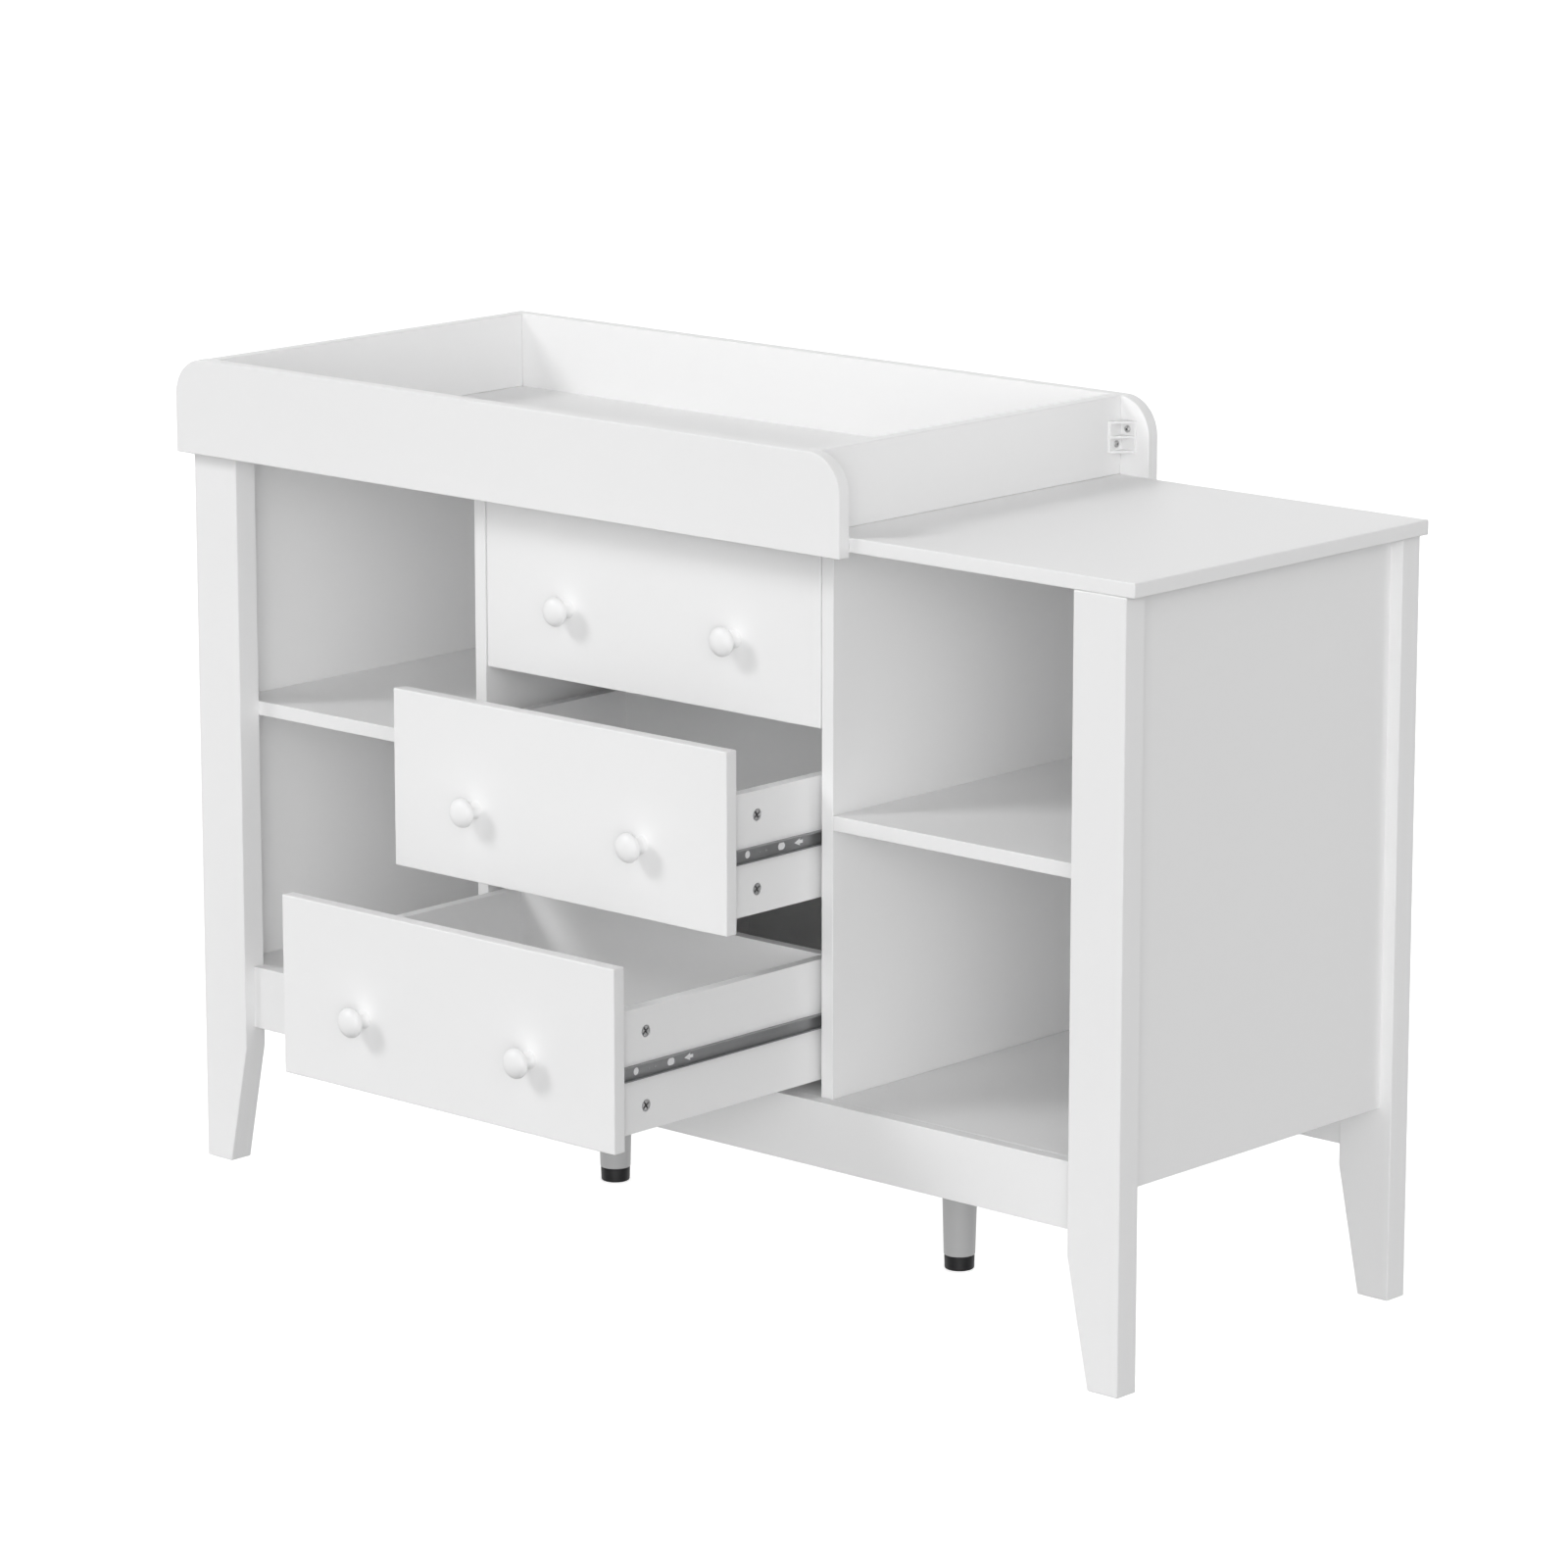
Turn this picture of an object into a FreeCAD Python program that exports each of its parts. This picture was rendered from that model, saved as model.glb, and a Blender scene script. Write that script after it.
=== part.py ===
"""Changing table: a low cabinet with two open compartments at each end, three drawers on ball-bearing
slides in the middle, and a lift-off changing tray over the left part of its top.

Millimetres. +X is to the right as the user faces the drawers, +Y away from the user, +Z up. The origin is
on the floor under the middle of the whole object's box, with the top drawer shut, the middle one part open
and the bottom one almost fully open. Every size below is a cell of the sheet, and every feature is bound to
those cells.
"""
import FreeCAD, Part
import os
from types import SimpleNamespace

import Sketcher
from FreeCAD import Placement, Rotation, Vector

SIZES = {
    # Case: 15 mm boards between four corner legs
    "board": 15,
    "case_width": 1260,  # over the corner legs
    "case_depth": 450,
    "case_top": 785,  # upper face of the top board
    "top_overhang": 10,
    "front_y": -88.15,  # the legs' front faces
    "edge_round": 1.5,
    "leg_depth": 28,
    "leg_width": 63.5,
    "leg_foot": 37.5,
    "leg_taper": 128.5,  # height at which the taper towards the foot starts
    "side_recess": 14,  # side panels behind the legs' outer faces
    "side_z": 196,
    "base_z": 201,
    "rail_z": 149.5,
    "rail_recess": 13,
    "back_sheet": 3,
    "bay_width": 458,  # clear width between the partitions
    "shelf_z": 486.5,
    # Centre legs
    "centre_leg_x": 240,
    "centre_leg_top": 42,
    "centre_leg_foot": 32.2,
    "cap_height": 15,
    "cap_dia": 31,
    "cap_floor": 3,
    "spigot_dia": 22,
    # Joinery
    "dowel_dia": 8,
    "dowel_face": 10,  # depth of a dowel in a board's face
    "dowel_edge": 20,  # depth of a dowel in a board's edge
    "dowel_inset": 72,  # from a board's front and back edges
    "fit": 0.1,  # holes are this much larger across than what they take
    "bolt_dia": 8,
    "bolt_in_leg": 28,
    "bolt_in_base": 12,
    "case_screw_dia": 5,
    "case_screw_length": 50,
    "case_screw_head": 8,
    "case_screw_sink": 3,
    # Drawers, measured from the lower edge and the back face of the front
    "front_gap": 2,
    "bottom_front_z": 217,
    "bottom_front_height": 182,
    "bottom_open": 291,
    "middle_front_z": 401.5,
    "middle_front_height": 182,
    "middle_open": 134,
    "top_front_z": 585,
    "top_front_height": 177.5,
    "top_open": 0,
    "side_gap": 10,  # between a drawer side and its partition, filled by the slide
    "side_thick": 12,
    "side_raise": 13,
    "side_height": 122,
    "side_length": 352,
    "drawer_back_at": 301,
    "floor_thick": 4,
    "floor_raise": 8,
    "groove": 5,
    "groove_play": 0.2,
    "cam_dia": 12,
    "cam_depth": 9.5,
    "cam_at": 37.5,
    "cam_low": 37.3,
    "cam_high": 110.8,
    "cam_bolt_dia": 6,
    "cam_bolt_in_front": 10.9,
    # Knobs
    "knob_x": 113.5,
    "knob_raise": 73.7,
    "knob_dia": 30,
    "knob_reach": 26,
    "knob_head_half": 8,
    "knob_neck_dia": 13.5,
    "knob_foot_dia": 18,
    "knob_flare": 5,
    "knob_screw_dia": 4,
    "knob_screw_in": 12,
    "pan_head_dia": 8,
    "pan_head_height": 2.5,
    # Slides: sheet-steel channel on the partition, rail on the drawer, ball cage between them
    "gauge": 1,
    "slide_raise": 74,
    "slide_length": 350,
    "slide_setback": 2,
    "channel_height": 26,
    "channel_start": 0.5,
    "channel_lip": 1.7,
    "rail_height": 14,
    "rail_depth": 6.3,
    "rail_hole_dia": 7.8,
    "rail_hole_at": 21,
    "rail_slot_at": 69.5,
    "rail_slot_dia": 7.4,
    "rail_slot_length": 10.8,
    "rail_arrow_at": 87.5,
    "rail_arrow_length": 13.4,
    "rail_arrow_half": 4.5,
    "cage_length": 50,
    "cage_gauge": 0.5,
    "cage_start": 1.7,
    "cage_end": 7.7,
    "cage_shut_at": 150,  # cage's front end behind the channel's front end, drawer shut
    "ball_dia": 4.9,
    "ball_x": 3.9,
    "ball_z": 9.5,
    "ball_pitch": 14,
    "slide_screw_dia": 3,
    "slide_screw_head": 6,
    "slide_screw_length": 10,
    "slide_screw_at": 290,
    "slide_screw_pitch": 30,
    "back_screw_dia": 4,
    "back_screw_length": 30,
    "back_screw_head": 8,
    "back_screw_sink": 2,
    "back_screw_low": 30,
    "back_screw_high": 100,
    # Changing tray
    "tray_length": 930,
    "tray_lap": 20,  # front and back boards below the top of the case
    "tray_rise": 80.5,  # boards above the top of the case
    "tray_corner": 40,
    "tray_end_inset": 36,
    "tray_play": 0.3,
    "block_leg": 20,
    "block_height": 32,
    "block_raise": 24,
    "block_wall": 3,
    "block_nib": 4,
    "block_shelf": 2.2,
    "block_screw_out": 11.5,
    "block_screw_low": 8.5,
    "block_screw_high": 23.5,
    "block_screw_dia": 3.9,
    "block_screw_head": 7,
    "block_screw_in": 12,
}

BALLS_PER_ROW = 4
LEAST_CUT = 0.01  # cubic millimetres
X, Y, Z = 0, 1, 2
# Origin plane: its two sketch axes, the axis along its normal, and the normal's sign
PLANES = {"XY_Plane": (X, Y, Z, 1), "XZ_Plane": (X, Z, Y, -1), "YZ_Plane": (Y, Z, X, 1)}
PLANE_ACROSS = {X: "YZ_Plane", Y: "XZ_Plane", Z: "XY_Plane"}
# Which way a hole runs from a face: a near face is drilled towards +, a far one towards -
NEAR, FAR = 1, -1
FACES = {
    "left": (X, NEAR),
    "right": (X, FAR),
    "front": (Y, NEAR),
    "back": (Y, FAR),
    "bottom": (Z, NEAR),
    "top": (Z, FAR),
}
NEAR_FACE = ("left", "front", "bottom")
FAR_FACE = ("right", "back", "top")
LEFT, RIGHT = -1, 1
UP, DOWN = (0, 0, 1), (0, 0, -1)
AHEAD, BEHIND = (0, -1, 0), (0, 1, 0)


class Length:
    """A number worked out from the sheet, held as the text of a FreeCAD expression."""

    def __init__(self, text):
        self.text = str(text)

    def __str__(self):
        return self.text

    def __float__(self):
        return float(sheet.evalExpression(self.text))

    def __add__(self, other):
        return Length(f"({self} + ({other}))")

    def __radd__(self, other):
        return Length(f"(({other}) + {self})")

    def __sub__(self, other):
        return Length(f"({self} - ({other}))")

    def __rsub__(self, other):
        return Length(f"(({other}) - {self})")

    def __mul__(self, other):
        return Length(f"({self} * ({other}))")

    def __rmul__(self, other):
        return Length(f"(({other}) * {self})")

    def __truediv__(self, other):
        return Length(f"({self} / ({other}))")


def make_sheet():
    """The sheet of driving sizes, one aliased cell for each."""
    cells = doc.addObject("Spreadsheet::Sheet", "Sizes")
    for row, (alias, number) in enumerate(SIZES.items(), 1):
        cells.set(f"A{row}", str(number))
        cells.setAlias(f"A{row}", alias)
    doc.recompute()
    return cells


doc = FreeCAD.newDocument("ChangingTable")
sheet = make_sheet()
size = SimpleNamespace(**{alias: Length(f"Sizes.{alias}") for alias in SIZES})
nodes = []  # every object that is written to a file of its own


def bind(thing, prop, number):
    """Make a property follow an expression on the sheet."""
    thing.setExpression(prop, str(number))


def place(thing, corner):
    """Make an object's position follow three expressions on the sheet."""
    for axis, number in zip("xyz", corner):
        bind(thing, f".Placement.Base.{axis}", number)


def publish(thing, label):
    """Name a sub-part and list it for writing."""
    thing.Label = label
    nodes.append(thing)
    return thing


def fix_point(sketch, geometry, point, u, v):
    """Hold a sketch point at a distance from the sketch's origin."""
    for kind, number in (("DistanceX", u), ("DistanceY", v)):
        rule = sketch.addConstraint(Sketcher.Constraint(kind, -1, 1, geometry, point, float(number)))
        bind(sketch, f"Constraints[{rule}]", number)


def draw_outline(sketch, corners):
    """Closed polygon through corners given as pairs of expressions."""
    points = [Vector(float(u), float(v), 0) for u, v in corners]
    ends = points[1:] + points[:1]
    lines = [sketch.addGeometry(Part.LineSegment(start, end)) for start, end in zip(points, ends)]
    for line, following in zip(lines, lines[1:] + lines[:1]):
        sketch.addConstraint(Sketcher.Constraint("Coincident", line, 2, following, 1))
    for line, (u, v) in zip(lines, corners):
        fix_point(sketch, line, 1, u, v)


def draw_circles(sketch, spots, diameter):
    """Circles of one diameter about spots given as pairs of expressions."""
    for u, v in spots:
        centre = Vector(float(u), float(v), 0)
        circle = sketch.addGeometry(Part.Circle(centre, Vector(0, 0, 1), float(diameter) / 2))
        fix_point(sketch, circle, 3, u, v)
        rule = sketch.addConstraint(Sketcher.Constraint("Diameter", circle, float(diameter)))
        bind(sketch, f"Constraints[{rule}]", diameter)


def rectangle(low, high):
    """Corners of a rectangle between two opposite corners."""
    return [(low[0], low[1]), (high[0], low[1]), (high[0], high[1]), (low[0], high[1])]


class Piece:
    """One piece as a PartDesign body, placed by the left, front, lower corner of its box. Its extent is that
    box's size. Sketch points are given in the part's own frame, and the body's origin is at the corner."""

    def __init__(self, label, corner, extent):
        self.corner = corner
        self.extent = extent
        self.body = doc.addObject("PartDesign::Body", label)
        self.body.Label = label
        place(self.body, corner)

    def sketch(self, role, level):
        """Sketch on one of the body's own origin planes, moved along that plane's axis to a level."""
        plane = next(item for item in self.body.Origin.OriginFeatures if item.Role == role)
        sketch = self.body.newObject("Sketcher::SketchObject", f"{self.body.Name}_sketch")
        sketch.AttachmentSupport = [(plane, "")]
        sketch.MapMode = "FlatFace"
        bind(sketch, "AttachmentOffset.Base.z", PLANES[role][3] * Length(level))
        return sketch

    def local(self, role, points):
        """Points of the part's frame as points of a sketch on one of the body's planes."""
        u_axis, v_axis = PLANES[role][:2]
        return [(Length(u) - self.corner[u_axis], Length(v) - self.corner[v_axis]) for u, v in points]

    def pad(self, role, outline, start, length):
        """Add a prism that runs from a level of the body towards +, along the plane's axis."""
        sketch = self.sketch(role, start)
        draw_outline(sketch, self.local(role, outline))
        feature = self.body.newObject("PartDesign::Pad", f"{self.body.Name}_pad")
        feature.Profile = sketch
        feature.Reversed = PLANES[role][3] < 0
        bind(feature, "Length", length)
        return self

    def pocket(self, face, draw, depth):
        """Cut what `draw` puts in a sketch on one face of the piece's box, to a depth."""
        axis, way = FACES[face]
        role = PLANE_ACROSS[axis]
        sketch = self.sketch(role, 0 if way == NEAR else self.extent[axis])
        draw(sketch, role)
        feature = self.body.newObject("PartDesign::Pocket", f"{self.body.Name}_pocket")
        feature.Profile = sketch
        feature.Reversed = way == PLANES[role][3]
        bind(feature, "Length", depth)
        return self

    def drill(self, face, spots, diameter, depth):
        """Cut round holes into a face."""
        return self.pocket(
            face, lambda sketch, role: draw_circles(sketch, self.local(role, spots), diameter), depth
        )

    def recess(self, face, outline, depth):
        """Cut a groove or window with straight sides into a face."""
        return self.pocket(
            face, lambda sketch, role: draw_outline(sketch, self.local(role, outline)), depth
        )

    def round_edges(self, radius, chosen=lambda edge: True):
        """Round the edges that the piece has now and that `chosen` accepts."""
        doc.recompute()
        base = self.body.Tip
        edges = [f"Edge{number}" for number, edge in enumerate(base.Shape.Edges, 1) if chosen(edge)]
        feature = self.body.newObject("PartDesign::Fillet", f"{self.body.Name}_round")
        feature.Base = (base, edges)
        bind(feature, "Radius", radius)
        return self

    def publish(self):
        """List the body for writing under its own label."""
        nodes.append(self.body)
        return self


def board(label, corner, extent):
    """Plain rectangular board."""
    far = [corner[axis] + extent[axis] for axis in (X, Y)]
    return Piece(label, corner, extent).pad("XY_Plane", rectangle(corner[:2], far), 0, extent[Z])


def turn_towards(solid, way):
    """Point a primitive's own Z axis along a direction."""
    solid.Placement = Placement(Vector(), Rotation(Vector(*UP), Vector(*way)))


def cylinder(label, diameter, length, seat, way):
    """Cylinder that starts at a seat and runs along a direction."""
    solid = doc.addObject("Part::Cylinder", label)
    bind(solid, "Radius", Length(diameter) / 2)
    bind(solid, "Height", length)
    turn_towards(solid, way)
    place(solid, seat)
    return solid


def cone(label, diameters, length, seat, way):
    """Cone that starts at a seat with the first diameter and ends with the second."""
    solid = doc.addObject("Part::Cone", label)
    for prop, diameter in zip(("Radius1", "Radius2"), diameters):
        bind(solid, prop, Length(diameter) / 2)
    bind(solid, "Height", length)
    turn_towards(solid, way)
    place(solid, seat)
    return solid


def fuse(label, solids):
    """One solid from touching ones."""
    joined = doc.addObject("Part::MultiFuse", label)
    joined.Shapes = solids
    joined.Refine = True
    return joined


def cut(label, base, tool):
    """A solid less another one."""
    result = doc.addObject("Part::Cut", label)
    result.Base = base
    result.Tool = tool
    return result


def group(label, solids):
    """Sub-part of separate solids, as for identical fasteners."""
    compound = doc.addObject("Part::Compound", label)
    compound.Links = solids
    return publish(compound, label)


def along(seat, way, distance):
    """Seat moved along a direction."""
    return [Length(start) + step * Length(distance) for start, step in zip(seat, way)]


def screw(label, head, shank, seat, way):
    """Screw whose head's outer face is at the seat. Head and shank are (diameter, length) pairs."""
    return fuse(
        label,
        [
            cylinder(f"{label}_head", *head, seat, way),
            cylinder(f"{label}_shank", *shank, along(seat, way, head[1]), way),
        ],
    )


# Levels and planes that several pieces share
case_left = size.case_width * -0.5
case_right = size.case_width * 0.5
front = size.front_y
inner_front = front + size.leg_depth  # front edges of side panels, partitions, shelves and drawer fronts
inner_depth = size.case_depth - 2 * size.leg_depth
inner_back = inner_front + inner_depth
board_under_top = size.case_top - size.board
base_top = size.base_z + size.board
panel_inner = case_right - size.side_recess - size.board  # side panel's inner face, right of the middle
bay_half = size.bay_width / 2
partition_outer = bay_half + size.board
dowel_rows = (inner_front + size.dowel_inset, inner_back - size.dowel_inset)

dowel_pins = []


def dowels(axis, level, spots, low, high, low_depth, high_depth):
    """Drill two pieces that meet at a level of an axis, and add the dowels.

    Low is the piece on the minus side of the level, and high is the one on its plus side.
    """
    hole = size.dowel_dia + size.fit
    low.drill(FAR_FACE[axis], spots, hole, low_depth)
    high.drill(NEAR_FACE[axis], spots, hole, high_depth)
    way = [int(axis == other) for other in (X, Y, Z)]
    for spot in spots:
        seat = list(spot)
        seat.insert(axis, level - low_depth + size.fit)
        length = low_depth + high_depth - 2 * size.fit
        dowel_pins.append(cylinder("dowel", size.dowel_dia, length, seat, way))


def make_leg(label, side, y):
    """Corner leg: a flat board whose inner edge tapers towards the foot."""
    outer = side * (size.case_width / 2)
    inner = outer - side * size.leg_width
    foot = outer - side * size.leg_foot
    low_x = outer if side == LEFT else inner
    outline = [
        (outer, 0),
        (foot, 0),
        (inner, size.leg_taper),
        (inner, board_under_top),
        (outer, board_under_top),
    ]
    leg = Piece(label, (low_x, y, Length(0)), (size.leg_width, size.leg_depth, board_under_top))
    leg.pad("XZ_Plane", outline, 0, size.leg_depth)
    return leg.round_edges(size.edge_round).publish()


def make_case():
    """Boards, legs and fasteners of the cabinet, without the slides. Returns the partitions by side."""
    back_leg_y = front + size.case_depth - size.leg_depth
    legs = {
        (side, row): make_leg(f"leg_{row}_{name}", side, y)
        for row, y in (("front", front), ("back", back_leg_y))
        for side, name in ((LEFT, "left"), (RIGHT, "right"))
    }
    top = board(
        "top_board",
        (case_left - size.top_overhang, front, board_under_top),
        (size.case_width + 2 * size.top_overhang, size.case_depth, size.board),
    )
    top.round_edges(size.edge_round).publish()
    base = board(
        "bottom_board",
        (-1 * panel_inner, inner_front, size.base_z),
        (2 * panel_inner, inner_depth, size.board),
    ).publish()
    rail_size = (size.case_width - 2 * size.leg_width, size.board, base_top - size.rail_z)
    rails = {
        row: board(f"{row}_rail", (case_left + size.leg_width, y, size.rail_z), rail_size).publish()
        for row, y in (("front", front + size.rail_recess), ("back", inner_back + size.back_sheet))
    }
    board(
        "back_panel",
        (case_left + size.leg_width, inner_back, size.base_z),
        (size.case_width - 2 * size.leg_width, size.back_sheet, board_under_top - size.base_z),
    ).publish()
    panels, partitions = {}, {}
    for side, name in ((LEFT, "left"), (RIGHT, "right")):
        make_end(side, name, legs, top, base, panels, partitions)
    for (side, row), leg in legs.items():
        low, high = (leg, rails[row]) if side == LEFT else (rails[row], leg)
        low_depth, high_depth = (size.dowel_face, size.dowel_edge)
        if side == RIGHT:
            low_depth, high_depth = high_depth, low_depth
        rail = rails[row]
        y = rail.corner[Y] + size.board / 2
        spots = [(y, size.rail_z + size.board), (y, base_top - size.board)]
        level = side * (size.case_width / 2 - size.leg_width)
        dowels(X, level, spots, low, high, low_depth, high_depth)
        spot = (side * (size.case_width - size.leg_width) / 2, leg.corner[Y] + size.leg_depth / 2)
        dowels(Z, board_under_top, [spot], leg, top, size.dowel_edge, size.dowel_face)
    group("case_dowels", dowel_pins)
    group("case_screws", screw_partitions(base, partitions))
    make_centre_legs(base)
    return partitions


def make_end(side, name, legs, top, base, panels, partitions):
    """Side panel, partition and shelf of one end, dowelled together and to the legs and boards."""
    panel_x = side * (panel_inner + size.board / 2)
    panel = board(
        f"side_panel_{name}",
        (panel_x - size.board / 2, inner_front, size.side_z),
        (size.board, inner_depth, board_under_top - size.side_z),
    ).publish()
    partition_x = side * (bay_half + size.board / 2)
    partition = board(
        f"partition_{name}",
        (partition_x - size.board / 2, inner_front, base_top),
        (size.board, inner_depth, board_under_top - base_top),
    ).publish()
    shelf_width = panel_inner - partition_outer
    shelf_x = side * (panel_inner + partition_outer) / 2
    shelf = board(
        f"shelf_{name}",
        (shelf_x - shelf_width / 2, inner_front, size.shelf_z),
        (shelf_width, inner_depth, size.board),
    ).publish()
    panels[side], partitions[side] = panel, partition
    heights = [size.side_z + share * (board_under_top - size.side_z) for share in (0.12, 0.5, 0.88)]
    spots = [(panel_x, height) for height in heights]
    dowels(Y, inner_front, spots, legs[side, "front"], panel, size.board, size.board)
    dowels(Y, inner_back, spots, panel, legs[side, "back"], size.board, size.board)
    for upright, x in ((panel, panel_x), (partition, partition_x)):
        spots = [(x, y) for y in dowel_rows]
        dowels(Z, board_under_top, spots, upright, top, size.dowel_edge, size.dowel_face)
    for flat, height in ((shelf, size.shelf_z), (base, size.base_z)):
        spots = [(y, height + size.board / 2) for y in dowel_rows]
        across_joint(side, panel_inner, spots, flat, panel)
    spots = [(y, size.shelf_z + size.board / 2) for y in dowel_rows]
    across_joint(-1 * side, -1 * partition_outer, spots, shelf, partition)


def across_joint(side, distance, spots, flat, upright):
    """Dowels from the end of a flat board into the face of an upright on the given side of it."""
    if side == RIGHT:
        dowels(X, distance, spots, flat, upright, size.dowel_edge, size.dowel_face)
    else:
        dowels(X, -1 * distance, spots, upright, flat, size.dowel_face, size.dowel_edge)


def screw_partitions(base, partitions):
    """Screws from under the bottom board into the partitions, with sunk heads."""
    screws = []
    head = (size.case_screw_head, size.case_screw_sink)
    shank = (size.case_screw_dia, size.case_screw_length - size.case_screw_sink)
    for side, partition in partitions.items():
        spots = [(side * (bay_half + size.board / 2), y) for y in dowel_rows]
        base.drill("bottom", spots, size.case_screw_dia + size.fit, size.board)
        base.drill("bottom", spots, size.case_screw_head + size.fit, size.case_screw_sink)
        reach = size.case_screw_length - size.board + size.fit
        partition.drill("bottom", spots, size.case_screw_dia + size.fit, reach)
        screws += [screw("case_screw", head, shank, (x, y, size.base_z), UP) for x, y in spots]
    return screws


def make_centre_legs(base):
    """Round tapered legs under the bottom board, hung on bolts, with rubber foot caps."""
    middle = front + size.case_depth / 2
    bolts, caps = [], []
    bolt_hole = size.bolt_dia + size.fit
    for side, name in ((LEFT, "left"), (RIGHT, "right")):
        x = side * size.centre_leg_x
        foot, shoulder = (x, middle, size.cap_floor), (x, middle, size.cap_height)
        spigot = cylinder("centre_leg_spigot", size.spigot_dia, size.cap_height - size.cap_floor, foot, UP)
        diameters = (size.centre_leg_foot, size.centre_leg_top)
        taper = cone("centre_leg_taper", diameters, size.base_z - size.cap_height, shoulder, UP)
        seat = (x, middle, size.base_z)
        bore = cylinder("centre_leg_bore", bolt_hole, size.bolt_in_leg + size.fit, seat, DOWN)
        label = f"centre_leg_{name}"
        publish(cut(label, fuse("centre_leg_blank", [spigot, taper]), bore), label)
        base.drill("bottom", [(x, middle)], bolt_hole, size.bolt_in_base + size.fit)
        bolt_foot = along(seat, DOWN, size.bolt_in_leg)
        bolt_length = size.bolt_in_leg + size.bolt_in_base
        bolts.append(cylinder("hanger_bolt", size.bolt_dia, bolt_length, bolt_foot, UP))
        cup = cylinder("cap_cup", size.cap_dia, size.cap_height, (x, middle, 0), UP)
        socket = cylinder("cap_socket", size.spigot_dia + size.fit, size.cap_height, foot, UP)
        caps.append(cut("centre_leg_cap", cup, socket))
    group("centre_leg_bolts", bolts)
    group("centre_leg_caps", caps)


def c_section(side, mouth, web, half, gauge, lip=0):
    """Outline of a C section in X and height. Mouth and web are the distances of its open and closed edges
    from the drawer's side, and lips of the given length turn in at the mouth."""
    inward = gauge * (1 if float(web) < float(mouth) else -1)
    inner = web + inward
    upper = [(mouth, half), (web, half)]
    lower = [(web, -1 * half), (mouth, -1 * half)]
    turn = [(mouth, half - gauge)]
    if lip:
        turn = [(mouth - inward, half - gauge), (mouth - inward, half - lip), (mouth, half - lip)]
    cavity_top = [(inner, half - gauge)] + turn
    cavity_low = [(u, -1 * v) for u, v in reversed(cavity_top)]
    points = upper + lower + cavity_low + cavity_top
    return [(side * (drawer_side + u), v) for u, v in points]


drawer_side = bay_half - size.side_gap  # outer face of a drawer side
channel_front = inner_front + size.board + size.slide_setback  # clear of a shut drawer's front


def section_piece(label, side, edges, half, run, centre_z, gauge, lip=0):
    """Sheet-steel section along the drawer's travel, on one side of it. Edges are its open and closed edges'
    distances from the drawer's side, and the run is its front end and its length."""
    start, length = run
    near, far = sorted(edges, key=float)
    low_x = drawer_side + near if side == RIGHT else -1 * (drawer_side + far)
    piece = Piece(label, (low_x, start, centre_z - half), (far - near, length, 2 * half))
    outline = [(x, centre_z + z) for x, z in c_section(side, *edges, half, gauge, lip)]
    return piece.pad("XZ_Plane", outline, 0, length)


def make_channel(side, centre_z, partition):
    """Cabinet member of one slide and the screws that hold it to the partition."""
    start = channel_front
    half = size.channel_height / 2
    edges = (size.channel_start, size.side_gap)
    run = (start, size.slide_length)
    channel = section_piece("channel", side, edges, half, run, centre_z, size.gauge, size.channel_lip)
    spots = [(start + size.slide_screw_pitch, centre_z), (start + size.slide_screw_at, centre_z)]
    outer_face, board_face = ("right", "left") if side == RIGHT else ("left", "right")
    channel.drill(outer_face, spots, size.slide_screw_head + size.fit, size.gauge)
    partition.drill(board_face, spots, size.slide_screw_dia + size.fit, size.slide_screw_length + size.fit)
    return channel.body, slide_screws(spots, bay_half - size.gauge, side, side)


def slide_screws(spots, distance, side, way):
    """Flat-headed screws along X whose heads start at a distance from the middle, on one side of it."""
    head = (size.slide_screw_head, size.gauge)
    shank = (size.slide_screw_dia, size.slide_screw_length)
    return [screw("slide_screw", head, shank, (side * distance, y, z), (way, 0, 0)) for y, z in spots]


def make_rail(side, start, centre_z, box_side):
    """Drawer member of one slide, with its holes, and the screws that hold it to the drawer's side."""
    half = size.rail_height / 2
    edges = (size.rail_depth, Length(0))
    rail = section_piece("rail", side, edges, half, (start, size.slide_length), centre_z, size.gauge)
    web_face, board_face = ("left", "right") if side == RIGHT else ("right", "left")
    rail.drill(web_face, [(start + size.rail_hole_at, centre_z)], size.rail_hole_dia, size.gauge)
    slot_reach = (size.rail_slot_length - size.rail_slot_dia) / 2
    slot_y = start + size.rail_slot_at
    slot_half = size.rail_slot_dia / 2
    for end in (slot_y - slot_reach, slot_y + slot_reach):
        rail.drill(web_face, [(end, centre_z)], size.rail_slot_dia, size.gauge)
    window_low = (slot_y - slot_reach, centre_z - slot_half)
    window_high = (slot_y + slot_reach, centre_z + slot_half)
    rail.recess(web_face, rectangle(window_low, window_high), size.gauge)
    tip = start + size.rail_arrow_at
    arrow = [
        (tip, centre_z),
        (tip + size.rail_arrow_length, centre_z - size.rail_arrow_half),
        (tip + size.rail_arrow_length, centre_z + size.rail_arrow_half),
    ]
    rail.recess(web_face, arrow, size.gauge)
    spots = [(start + size.slide_screw_at + turn * size.slide_screw_pitch, centre_z) for turn in (0, 1)]
    rail.drill(web_face, spots, size.slide_screw_head + size.fit, size.gauge)
    box_side.drill(board_face, spots, size.slide_screw_dia + size.fit, size.slide_screw_length + size.fit)
    return rail.body, slide_screws(spots, drawer_side + size.gauge, side, -side)


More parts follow.
